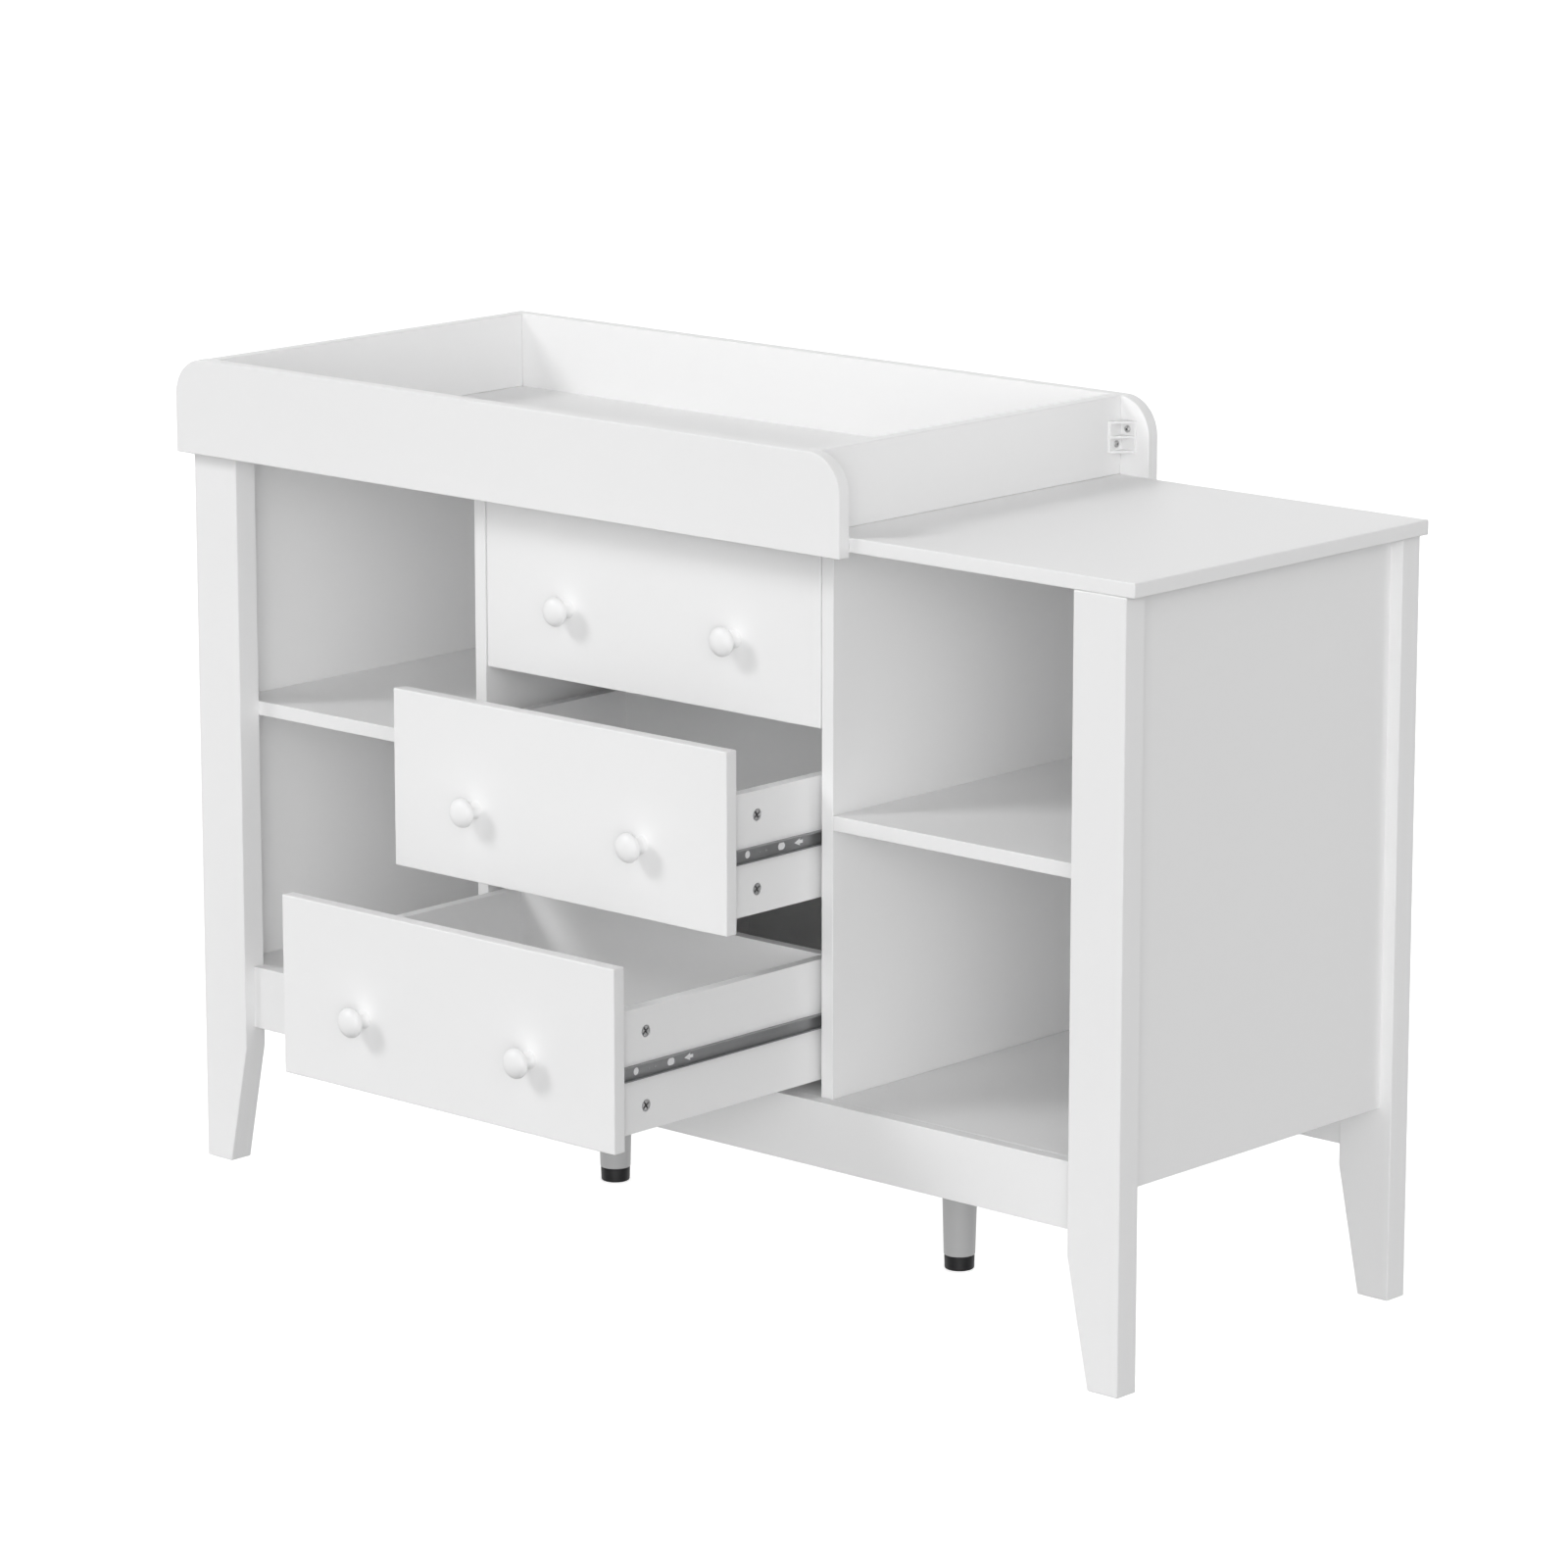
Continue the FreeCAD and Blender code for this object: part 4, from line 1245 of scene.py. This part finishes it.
@dataclass(frozen=True)
class MushroomKnob:
    """A turned knob: a coved foot, a short waisted neck and a domed head."""

    reach: float = 26.0 * MM
    head_radius: float = 15.0 * MM
    head_half: float = 8.0 * MM
    neck_radius: float = 6.75 * MM
    foot_radius: float = 9.0 * MM
    foot_lip: float = 0.6 * MM
    cove_height: float = 5.0 * MM
    cove_steps: int = 8
    waist: float = 0.25 * MM
    waist_height: float = 8.2 * MM
    collar: float = 0.7 * MM
    dome_steps: int = 20
    steps: int = 56

    def profile(self) -> Outline:
        """Radius and height, from the foot's middle to the top of the dome at height 0.

        Returns:
            The points.
        """
        base, neck = -self.reach, self.neck_radius
        points = [(0.0, base), (self.foot_radius, base), (self.foot_radius, base + self.foot_lip)]
        for step in range(1, self.cove_steps + 1):
            share = step / self.cove_steps
            flare = (self.foot_radius - neck) * (1.0 - share) ** 2
            points.append((neck + flare, base + self.foot_lip + share * self.cove_height))
        points.append((neck - self.waist, base + self.waist_height))
        underside = math.asin(neck / self.head_radius)
        points.append((neck, -self.head_half * (1.0 + math.cos(underside)) - self.collar))
        for step in range(1, self.dome_steps):
            turn = underside + (math.pi - underside) * step / self.dome_steps
            height = -self.head_half * (1.0 + math.cos(turn))
            points.append((self.head_radius * math.sin(turn), height))
        return [*points, (0.0, 0.0)]

    def pattern(self) -> bpy.types.Object:
        """One knob whose dome touches the origin, facing +Z."""
        return crisp(as_object("knob_pattern", turned(self.profile(), self.steps), KNOB_PAINT), 50.0)


# Sub-assemblies ------------------------------------------------------------------------------------


@dataclass(frozen=True)
class Carcass:
    """The cabinet's painted boards."""

    top_rounding: float = 1.5 * MM
    board_rounding: float = 0.8 * MM
    sheet_rounding: float = 0.3 * MM
    boards: tuple[str, ...] = (
        "bottom_board",
        "side_panel_left",
        "side_panel_right",
        "partition_left",
        "partition_right",
        "shelf_left",
        "shelf_right",
        "front_rail",
        "back_rail",
    )

    def build(self) -> None:
        """Builds the top, the other boards and the thin back panel."""
        paint_board("top_board", "cabinet", BOARD_PAINT, self.top_rounding)
        for node in self.boards:
            paint_board(node, "cabinet", BOARD_PAINT, self.board_rounding)
        paint_board("back_panel", "cabinet", SHEET_PAINT, self.sheet_rounding, 2)


@dataclass(frozen=True)
class TaperedLegs:
    """The four corner legs, whose inner edge slopes in to a narrow foot."""

    foot_width: float = 37.5 * MM
    taper_height: float = 128.5 * MM
    rounding: float = 1.5 * MM
    nodes: tuple[str, ...] = ("leg_front_left", "leg_front_right", "leg_back_left", "leg_back_right")

    def build(self) -> None:
        """Builds each leg from its box."""
        for node in self.nodes:
            low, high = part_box(node)
            outer, inner = (low.x, high.x) if low.x < 0 else (high.x, low.x)
            foot = outer + math.copysign(self.foot_width, inner - outer)
            sloping = [(foot, low.z), (inner, self.taper_height)]
            outline = [(outer, low.z), *sloping, (inner, high.z), (outer, high.z)]
            leg = as_object(f"painted_{node}", prism(outline, Y, low.y, high.y), LEG_PAINT)
            deliver(soften(leg, self.rounding, limit=math.radians(20.0)), "cabinet", LEG_PAINT, node)


@dataclass(frozen=True)
class CentreLegs:
    """The two turned legs under the drawers, with rubber cups and hanger bolts."""

    spigot_radius: float = 11.0 * MM
    foot_radius: float = 16.1 * MM
    top_radius: float = 21.0 * MM
    cup_radius: float = 15.5 * MM
    cup_foot_radius: float = 15.15 * MM
    cup_height: float = 15.0 * MM
    cup_floor: float = 3.0 * MM
    sole_rounding: float = 1.6 * MM
    bead: Outline = ((0.0, 1.8), (0.3, 1.5), (0.3, 1.1), (0.0, 0.8), (0.0, 0.3), (0.3, 0.0))
    rounding: float = 0.8 * MM
    steps: int = 64

    def leg_profile(self, foot: float, height: float) -> Outline:
        """Radius and height of a leg, from its spigot's end.

        Args:
            foot: Where the spigot ends and the leg proper starts.
            height: Where the leg ends.

        Returns:
            The points.
        """
        ease, share = self.rounding, 0.3 * self.rounding
        spigot = [(0.0, 0.0), (self.spigot_radius, 0.0), (self.spigot_radius, foot)]
        lower = [(self.foot_radius - ease, foot), (self.foot_radius - share, foot + share)]
        flank = [(self.foot_radius, foot + ease), (self.top_radius, height - ease)]
        upper = [(self.top_radius - share, height - share), (self.top_radius - ease, height)]
        return [*spigot, *lower, *flank, *upper, (0.0, height)]

    def cup_profile(self) -> Outline:
        """A cup's rounded sole, its wall with a bead of (inset, drop) in mm, and its open mouth.

        Returns:
            The points.
        """
        ease, top = self.sole_rounding, self.cup_height
        turns = [math.radians(15.0 * step) for step in range(7)]
        inset = self.cup_foot_radius - ease
        sole = [(inset + ease * math.sin(turn), ease - ease * math.cos(turn)) for turn in turns]
        bead = [(self.cup_radius - across * MM, top - drop * MM) for across, drop in self.bead]
        mouth = [(self.spigot_radius, top), (self.spigot_radius, self.cup_floor)]
        return [(0.0, 0.0), *sole, *bead, *mouth, (0.0, self.cup_floor)]

    def turn(self, name: str, profile: Outline, foot: Vector, finish: Finish) -> bpy.types.Object:
        """Turns a profile about the upright through a foot's middle.

        Args:
            name: The piece's name.
            profile: Radius and height, above the foot.
            foot: The foot's middle.
            finish: What it is made of.

        Returns:
            The piece.
        """
        work = turned(profile, self.steps)
        work.transform(Matrix.Translation(foot))
        return as_object(name, work, finish)

    def build(self, setting: SettingOut) -> None:
        """Builds the legs, the cups and the bolts.

        Args:
            setting: The tree that sets copies out.
        """
        cups = []
        for side in Side:
            node = f"centre_leg_{side.name.lower()}"
            low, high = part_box(node)
            foot = Vector(((low.x + high.x) / 2, (low.y + high.y) / 2, low.z))
            profile = self.leg_profile(self.cup_height - low.z, high.z - low.z)
            leg = self.turn(f"turned_{node}", profile, foot, CENTRE_LEG_PAINT)
            deliver(crisp(leg), "cabinet", CENTRE_LEG_PAINT, node)
            foot.z = 0.0
            cups.append(self.turn("cup", self.cup_profile(), foot, FOOT_RUBBER))
        made = crisp(join("rubber_foot_cups", cups, FOOT_RUBBER))
        deliver(made, "cabinet", FOOT_RUBBER, "centre_leg_caps")
        seats = [island.seat(UP) for island in islands("centre_leg_bolts")]
        bolt = Bolt(seats[0]).pattern(SCREW_ZINC)
        setting.fit("hanger_bolts", "cabinet", "centre_leg_bolts", bolt, seats, SCREW_ZINC)


@dataclass(frozen=True)
class Fastenings:
    """The screws and dowels that hold the cabinet together."""

    loose_turn: float = math.pi / 2

    def screws(self, setting: SettingOut, node: str, body: str, name: str) -> None:
        """Sets out every screw of a CAD node, one piece for each size of screw.

        Args:
            setting: The tree that sets copies out.
            node: The CAD node that holds the screws.
            body: The body they ride.
            name: The new pieces' name, which a number follows.
        """
        kinds: dict[tuple[float, ...], list[Seat]] = {}
        for island in islands(node):
            seat = island.seat()
            kinds.setdefault(seat.size(), []).append(seat)
        for number, size in enumerate(sorted(kinds), 1):
            seats = kinds[size]
            screw = Screw(seats[0]).pattern()
            setting.fit(f"{name}_{number}", body, node, screw, seats, SCREW_ZINC, self.loose_turn)

    def build(self, setting: SettingOut) -> None:
        """Builds the case's screws and dowels, and the screws of the cabinet's slide members.

        Args:
            setting: The tree that sets copies out.
        """
        self.screws(setting, "case_screws", "cabinet", "partition_screws")
        self.screws(setting, "channel_screws", "cabinet", "channel_fixing_screws")
        seats = [island.seat() for island in islands("case_dowels")]
        dowel = FlutedDowel(seats[0]).pattern()
        setting.fit("fluted_dowels", "cabinet", "case_dowels", dowel, seats, DOWEL_BEECH)


@dataclass(frozen=True)
class SlideSection:
    """A sheet-steel C section: its open edge and its web, as distances from the table's middle.

    Its other measures are half its height, the steel's gauge, the bends' outer radius, and how far
    a lip turns in at the open edge, or 0 without one.
    """

    mouth: float
    web: float
    half: float
    gauge: float
    bend: float
    lip: float = 0.0
    lip_bend: float = 0.5 * MM
    least_bend: float = 0.1 * MM

    def outline(self, side: Side, level: float) -> Outline:
        """The section's outline in X and Z, on one side, about a level.

        Args:
            side: The side of the table.
            level: The height of the section's middle.

        Returns:
            The outline.
        """
        sign = 1.0 if self.mouth > self.web else -1.0
        depth, half, gauge = abs(self.mouth - self.web), self.half, self.gauge
        upper = [(depth, half - gauge), (depth, half)]
        if self.lip:
            bend, inner = self.lip_bend, depth - gauge
            lip = [(inner, half - gauge), (inner, half - self.lip), (depth, half - self.lip)]
            upper = [*lip, *arc((depth - bend, half - bend), bend, 0.0, 90.0, 3)]
        upper += arc((self.bend, half - self.bend), self.bend, 90.0, 180.0, 5)
        inner_bend = max(self.bend - gauge, self.least_bend)
        corner = (gauge + inner_bend, half - gauge - inner_bend)
        inside = arc(corner, inner_bend, 180.0, 90.0, 3)
        lower = [(across, -up) for across, up in reversed([*inside, *upper])]
        points = [*upper, *lower, *inside]
        return [(side.value * (self.web + sign * across), level + up) for across, up in points]


@dataclass(frozen=True)
class DrawerRail:
    """The steel member on a drawer's side, with its holes, slot, arrow and two press marks."""

    section: SlideSection = SlideSection(225.3 * MM, 219.0 * MM, 7.0 * MM, 1.0 * MM, 1.4 * MM)
    hole_at: float = 21.0 * MM
    hole_radius: float = 3.9 * MM
    slot_at: float = 69.5 * MM
    slot_half: float = 5.4 * MM
    slot_radius: float = 3.7 * MM
    arrow_at: float = 87.5 * MM
    arrow_head: float = 10.0 * MM
    arrow_tail: float = 3.4 * MM
    arrow_half: float = 4.5 * MM
    arrow_barb: float = 1.0 * MM
    stem_share: float = 0.4
    marks_at: tuple[float, float] = (38.0 * MM, 46.5 * MM)
    mark_radius: float = 1.5 * MM
    mark_lift: float = 0.35
    screws_at: tuple[float, float] = (290.0 * MM, 320.0 * MM)
    screw_radius: float = 3.05 * MM
    clearance: float = 0.5 * MM

    def outlines(self, start: float, level: float) -> list[Outline]:
        """The openings in the web, in Y and Z: the round ones, the slot and the arrow.

        Args:
            start: Where the rail starts in Y.
            level: The height of its middle.

        Returns:
            The outlines.
        """
        rounds = [(start + self.hole_at, self.hole_radius)]
        rounds += [(start + place, self.screw_radius) for place in self.screws_at]
        circles = [arc((place, level), radius, 0.0, 360.0, 28)[:28] for place, radius in rounds]
        slot, straight = start + self.slot_at, self.slot_half - self.slot_radius
        rear = arc((slot + straight, level), self.slot_radius, -90.0, 90.0, 12)
        fore = arc((slot - straight, level), self.slot_radius, 90.0, 270.0, 12)
        tip = start + self.arrow_at
        back, stem = tip + self.arrow_head, self.arrow_half * self.stem_share
        lower = [(back, -self.arrow_half), (back - self.arrow_barb, -stem), (back + self.arrow_tail, -stem)]
        half = [(place, level + drop) for place, drop in lower]
        other = [(place, level - drop) for place, drop in reversed(lower)]
        return [*circles, [*rear, *fore], [(tip, level), *half, *other]]

    def tool(self, side: Side, start: float, level: float) -> bpy.types.Object:
        """Everything that is cut out of one rail.

        Args:
            side: The side of the drawer.
            start: Where the rail starts in Y.
            level: The height of its middle.

        Returns:
            The shapes, as one object.
        """
        sign, web, gauge = side.value, self.section.web, self.section.gauge
        near, far = sign * (web - self.clearance), sign * (web + gauge + self.clearance)
        work = bmesh.new()
        for outline in self.outlines(start, level):
            prism(outline, X, near, far, work)
        face = sign * (web + gauge + self.mark_radius * self.mark_lift)
        for place in self.marks_at:
            add_ball(work, Vector((face, start + place, level)), self.mark_radius, 14)
        return as_object("rail_tool", work, SLIDE_STEEL)

    def build(self, drawer: str) -> None:
        """Builds both rails of a drawer as one piece.

        Args:
            drawer: The drawer's name.
        """
        halves = []
        node = f"{drawer}_drawer_rails"
        for side, island in zip(Side, islands(node)):
            level, start, end = island.middle.z, island.low.y, island.high.y
            outline = self.section.outline(side, level)
            rail = as_object(f"rail_{side.name.lower()}", prism(outline, Y, start, end), SLIDE_STEEL)
            halves.append(carve(rail, self.tool(side, start, level)))
        rails = join(f"{drawer}_drawer_steel_rails", halves, SLIDE_STEEL)
        deliver(eased_steel(rails), f"{drawer}_drawer", SLIDE_STEEL, node)


@dataclass(frozen=True)
class Slides:
    """The cabinet's slide members and the ball cages that run in them."""

    channel: SlideSection = SlideSection(219.5 * MM, 229.0 * MM, 13.0 * MM, 1.0 * MM, 2.0 * MM, 1.7 * MM)
    cage: SlideSection = SlideSection(220.7 * MM, 226.7 * MM, 9.75 * MM, 0.5 * MM, 1.0 * MM)
    ball_room: float = 2.55 * MM
    shortest_cage: float = 20.0 * MM
    cage_edge: float = 0.1 * MM

    def build_channels(self) -> None:
        """Builds the three channels on each partition."""
        for side in Side:
            node = f"slide_channels_{side.name.lower()}"
            work = bmesh.new()
            for solid in islands(node):
                outline = self.channel.outline(side, solid.middle.z)
                prism(outline, Y, solid.low.y, solid.high.y, work)
            made = as_object(f"steel_{node}", work, SLIDE_STEEL)
            deliver(eased_steel(made), "cabinet", SLIDE_STEEL, node)

    def build_cages(self, drawer: str, setting: SettingOut) -> None:
        """Builds a drawer's two ball cages and sets out their balls.

        Args:
            drawer: The drawer's name.
            setting: The tree that sets copies out.
        """
        body, node = f"{drawer}_cages", f"{drawer}_ball_cages"
        solids = islands(node)
        strips = [solid for solid in solids if solid.extent(Y) > self.shortest_cage]
        balls = [solid for solid in solids if solid.extent(Y) <= self.shortest_cage]
        parts = []
        for side, strip in zip(Side, strips):
            outline = self.cage.outline(side, strip.middle.z)
            shape = prism(outline, Y, strip.low.y, strip.high.y)
            cage = as_object(f"cage_{side.name.lower()}", shape, CAGE_STEEL)
            work = bmesh.new()
            for ball in balls:
                if ball.middle.x * side.value > 0:
                    add_ball(work, ball.middle, self.ball_room, 16)
            parts.append(carve(cage, as_object("ball_tool", work, CAGE_STEEL)))
        cages = join(f"{drawer}_pressed_cages", parts, CAGE_STEEL)
        deliver(eased_steel(cages, self.cage_edge), body, CAGE_STEEL, node)
        seats = [ball.seat(UP) for ball in balls]
        pattern = self.ball(balls[0].extent(Y) / 2)
        setting.fit(f"{drawer}_steel_balls", body, node, pattern, seats, BALL_STEEL)

    def ball(self, radius: float) -> bpy.types.Object:
        """One ball that touches the origin from below.

        Args:
            radius: The ball's radius.

        Returns:
            The ball.
        """
        turns = [math.radians(turn) for turn in range(15, 180, 15)]
        round_side = [(radius * math.sin(turn), radius * (math.cos(turn) - 1.0)) for turn in turns]
        work = turned([(0.0, 0.0), *round_side, (0.0, -2.0 * radius)], 20)
        return as_object("ball_pattern", work, BALL_STEEL)


@dataclass(frozen=True)
class Drawer:
    """One drawer: its painted front and box, knobs, cam locks, screws and rails."""

    level: Level
    front_rounding: float = 0.3 * MM
    box_rounding: float = 0.6 * MM
    sheet_rounding: float = 0.3 * MM
    shortest_bolt: float = 13.0 * MM
    cam_turn: float = 0.5

    def build(self, setting: SettingOut, fastenings: Fastenings) -> None:
        """Builds the whole drawer on its body.

        Args:
            setting: The tree that sets copies out.
            fastenings: Makes its screws.
        """
        word = self.level.value
        body = f"{word}_drawer"
        for part in ("front", "side_left", "side_right", "back"):
            node = f"{body}_{part}"
            radius = self.front_rounding if part == "front" else self.box_rounding
            deliver(refined(node, f"painted_{node}", radius, BOARD_PAINT), body, BOARD_PAINT, node)
        paint_board(f"{body}_bottom", body, SHEET_PAINT, self.sheet_rounding, 2)
        self.build_knobs(setting, body)
        self.build_cams(setting, body)
        fastenings.screws(setting, f"{body}_screws", body, f"{body}_fixing_screws")
        DrawerRail().build(word)
        Slides().build_cages(word, setting)

    def build_knobs(self, setting: SettingOut, body: str) -> None:
        """Sets out the drawer's two turned knobs.

        Args:
            setting: The tree that sets copies out.
            body: The drawer's body.
        """
        node = f"{body}_knobs"
        seats = [island.seat(AHEAD) for island in islands(node)]
        setting.fit(f"turned_{node}", body, node, MushroomKnob().pattern(), seats, KNOB_PAINT)

    def build_cams(self, setting: SettingOut, body: str) -> None:
        """Sets out the cam locks in the drawer's sides, and their bolts.

        Args:
            setting: The tree that sets copies out.
            body: The drawer's body.
        """
        node = f"{body}_cams"
        locks, bolts = [], []
        for island in islands(node):
            if island.extent(Y) > self.shortest_bolt:
                bolts.append(island.seat(AHEAD))
            else:
                locks.append(island.seat(Vector((math.copysign(1.0, island.middle.x), 0.0, 0.0))))
        setting.fit(f"cast_{node}", body, node, CamLock().pattern(), locks, CAM_ZINC, self.cam_turn)
        pin = Bolt(bolts[0]).pattern(CAM_ZINC)
        setting.fit(f"{body}_cam_bolts", body, node, pin, bolts, CAM_ZINC)


@dataclass(frozen=True)
class ChangingTray:
    """The lift-off tray: two long boards with round shoulders, two ends, and screwed corner blocks."""

    shoulder: float = 40.0 * MM
    rounding: float = 1.5 * MM
    block_edge: float = 0.35 * MM
    shoulder_steps: int = 20

    def build(self, fastenings: Fastenings, setting: SettingOut) -> None:
        """Builds the tray's boards, its corner blocks and their screws.

        Args:
            fastenings: Makes its screws.
            setting: The tree that sets copies out.
        """
        for node in ("tray_front", "tray_back"):
            low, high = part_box(node)
            radius, steps = self.shoulder, self.shoulder_steps
            outline = [
                (low.x, low.z),
                (high.x, low.z),
                *arc((high.x - radius, high.z - radius), radius, 0.0, 90.0, steps),
                *arc((low.x + radius, high.z - radius), radius, 90.0, 180.0, steps),
            ]
            long_board = as_object(f"painted_{node}", prism(outline, Y, low.y, high.y), BOARD_PAINT)
            deliver(soften(long_board, self.rounding), "tray", BOARD_PAINT, node)
        for node in ("tray_end_left", "tray_end_right"):
            paint_board(node, "tray", BOARD_PAINT, self.rounding)
        blocks = refined("tray_corner_blocks", "moulded_corner_blocks", self.block_edge, BLOCK_PLASTIC)
        deliver(blocks, "tray", BLOCK_PLASTIC, "tray_corner_blocks")
        fastenings.screws(setting, "tray_screws", "tray", "corner_block_screws")


@dataclass(frozen=True)
class LightPanel:
    """A soft panel of light far off: the way to it, how narrow it is, and its strength."""

    way: Triple
    narrowness: float
    strength: float

    def glow(self, net: Net, direction: Value) -> Value:
        """How bright the surroundings are with this panel, in each direction.

        Args:
            net: The surroundings' nodes.
            direction: The way that is looked.

        Returns:
            The brightness.
        """
        ways = {0: direction, 1: Vector(self.way).normalized()}
        facing = net.value("ShaderNodeVectorMath", {"operation": "DOT_PRODUCT"}, ways, "Value")
        return net.maths("MAXIMUM", facing, 0.0) ** self.narrowness * self.strength


@dataclass(frozen=True)
class Studio:
    """A plain pale floor, a soft key light from the upper left front, light panels and the camera."""

    camera_place: Triple = (4.2859, -4.5819, 1.8800)
    camera_yaw: float = math.radians(42.242)
    camera_pitch: float = math.radians(12.522)
    lens: float = 147.18
    sensor: float = 36.0
    key_way: Triple = (0.50, 0.64, -0.58)
    key_strength: float = 0.92
    key_softness: float = math.radians(18.0)
    panels: tuple[LightPanel, ...] = (
        LightPanel((0.0, 0.0, 1.0), 1.0, 0.06),
        LightPanel((-1.0, 0.0, 0.0), 2.0, 1.15),
        LightPanel((0.66, -0.73, 0.15), 4.0, 1.55),
        LightPanel((0.66, -0.73, 0.20), 40.0, 5.00),
        LightPanel((0.0, 1.0, 0.2), 2.0, 1.30),
    )
    floor_size: float = 40.0
    floor_glow: float = 0.7
    floor_dark: Colour = (0.88, 0.88, 0.88)
    floor_light: Colour = (0.90, 0.90, 0.90)

    def build(self) -> None:
        """Builds the floor, the lights and the camera."""
        bpy.context.scene.view_settings.view_transform = "Standard"
        self.build_floor()
        self.build_key()
        self.build_panels()
        self.build_camera()

    def build_key(self) -> None:
        """Builds the key light."""
        sun = bpy.data.lights.new("key", "SUN")
        sun.energy, sun.angle = self.key_strength, self.key_softness
        key = bpy.data.objects.new("key", sun)
        key.rotation_euler = Vector(self.key_way).to_track_quat("-Z", "Y").to_euler()
        bpy.context.scene.collection.objects.link(key)

    def build_panels(self) -> None:
        """Builds the surroundings, which are as bright as the panels together."""
        world = bpy.data.worlds.new("studio")
        bpy.context.scene.world = world
        world.use_nodes = True
        net = Net(world.node_tree)
        backdrop = world.node_tree.nodes["Background"]
        backdrop.inputs["Color"].default_value = (1.0, 1.0, 1.0, 1.0)
        direction = net.value("ShaderNodeTexCoord", output="Generated")
        glow = self.panels[0].glow(net, direction)
        for panel in self.panels[1:]:
            glow = glow + panel.glow(net, direction)
        net.tree.links.new(glow.socket, backdrop.inputs["Strength"])

    def build_camera(self) -> None:
        """Builds the camera."""
        scene = bpy.context.scene
        lens = bpy.data.cameras.new("camera")
        lens.lens, lens.sensor_width = self.lens, self.sensor
        lens.clip_end = 100.0
        camera = bpy.data.objects.new("camera", lens)
        camera.location = self.camera_place
        camera.rotation_euler = (math.pi / 2 - self.camera_pitch, 0.0, self.camera_yaw)
        scene.collection.objects.link(camera)
        scene.camera = camera

    def build_floor(self) -> None:
        """Builds the floor, which glows a little so that it stays pale."""
        work = bmesh.new()
        bmesh.ops.create_grid(work, x_segments=1, y_segments=1, size=self.floor_size)
        mesh = bpy.data.meshes.new("floor")
        work.to_mesh(mesh)
        work.free()
        paper = bpy.data.materials.new("floor_paper")
        paper.use_nodes = True
        net = Net(paper.node_tree)
        shader = paper.node_tree.nodes["Principled BSDF"]
        place = net.value("ShaderNodeTexCoord", output="Object")
        tone = net.blend(net.noise(place, 0.8), self.floor_dark, self.floor_light)
        net.tree.links.new(tone.socket, shader.inputs["Base Color"])
        shader.inputs["Roughness"].default_value = 0.9
        shader.inputs["Emission Color"].default_value = (1.0, 1.0, 1.0, 1.0)
        shader.inputs["Emission Strength"].default_value = self.floor_glow
        mesh.materials.append(paper)
        floor = bpy.data.objects.new("floor", mesh)
        floor.visible_diffuse = floor.visible_glossy = floor.visible_shadow = False
        bpy.context.scene.collection.objects.link(floor)


def main() -> None:
    """Builds the table piece by piece, then the studio round it."""
    logging.basicConfig(level=logging.INFO, format="%(name)s: %(message)s")
    setting, fastenings = SettingOut(), Fastenings()
    Carcass().build()
    TaperedLegs().build()
    CentreLegs().build(setting)
    fastenings.build(setting)
    Slides().build_channels()
    for level in Level:
        Drawer(level).build(setting, fastenings)
    ChangingTray().build(fastenings, setting)
    Studio().build()


if __name__ == "__main__":
    main()
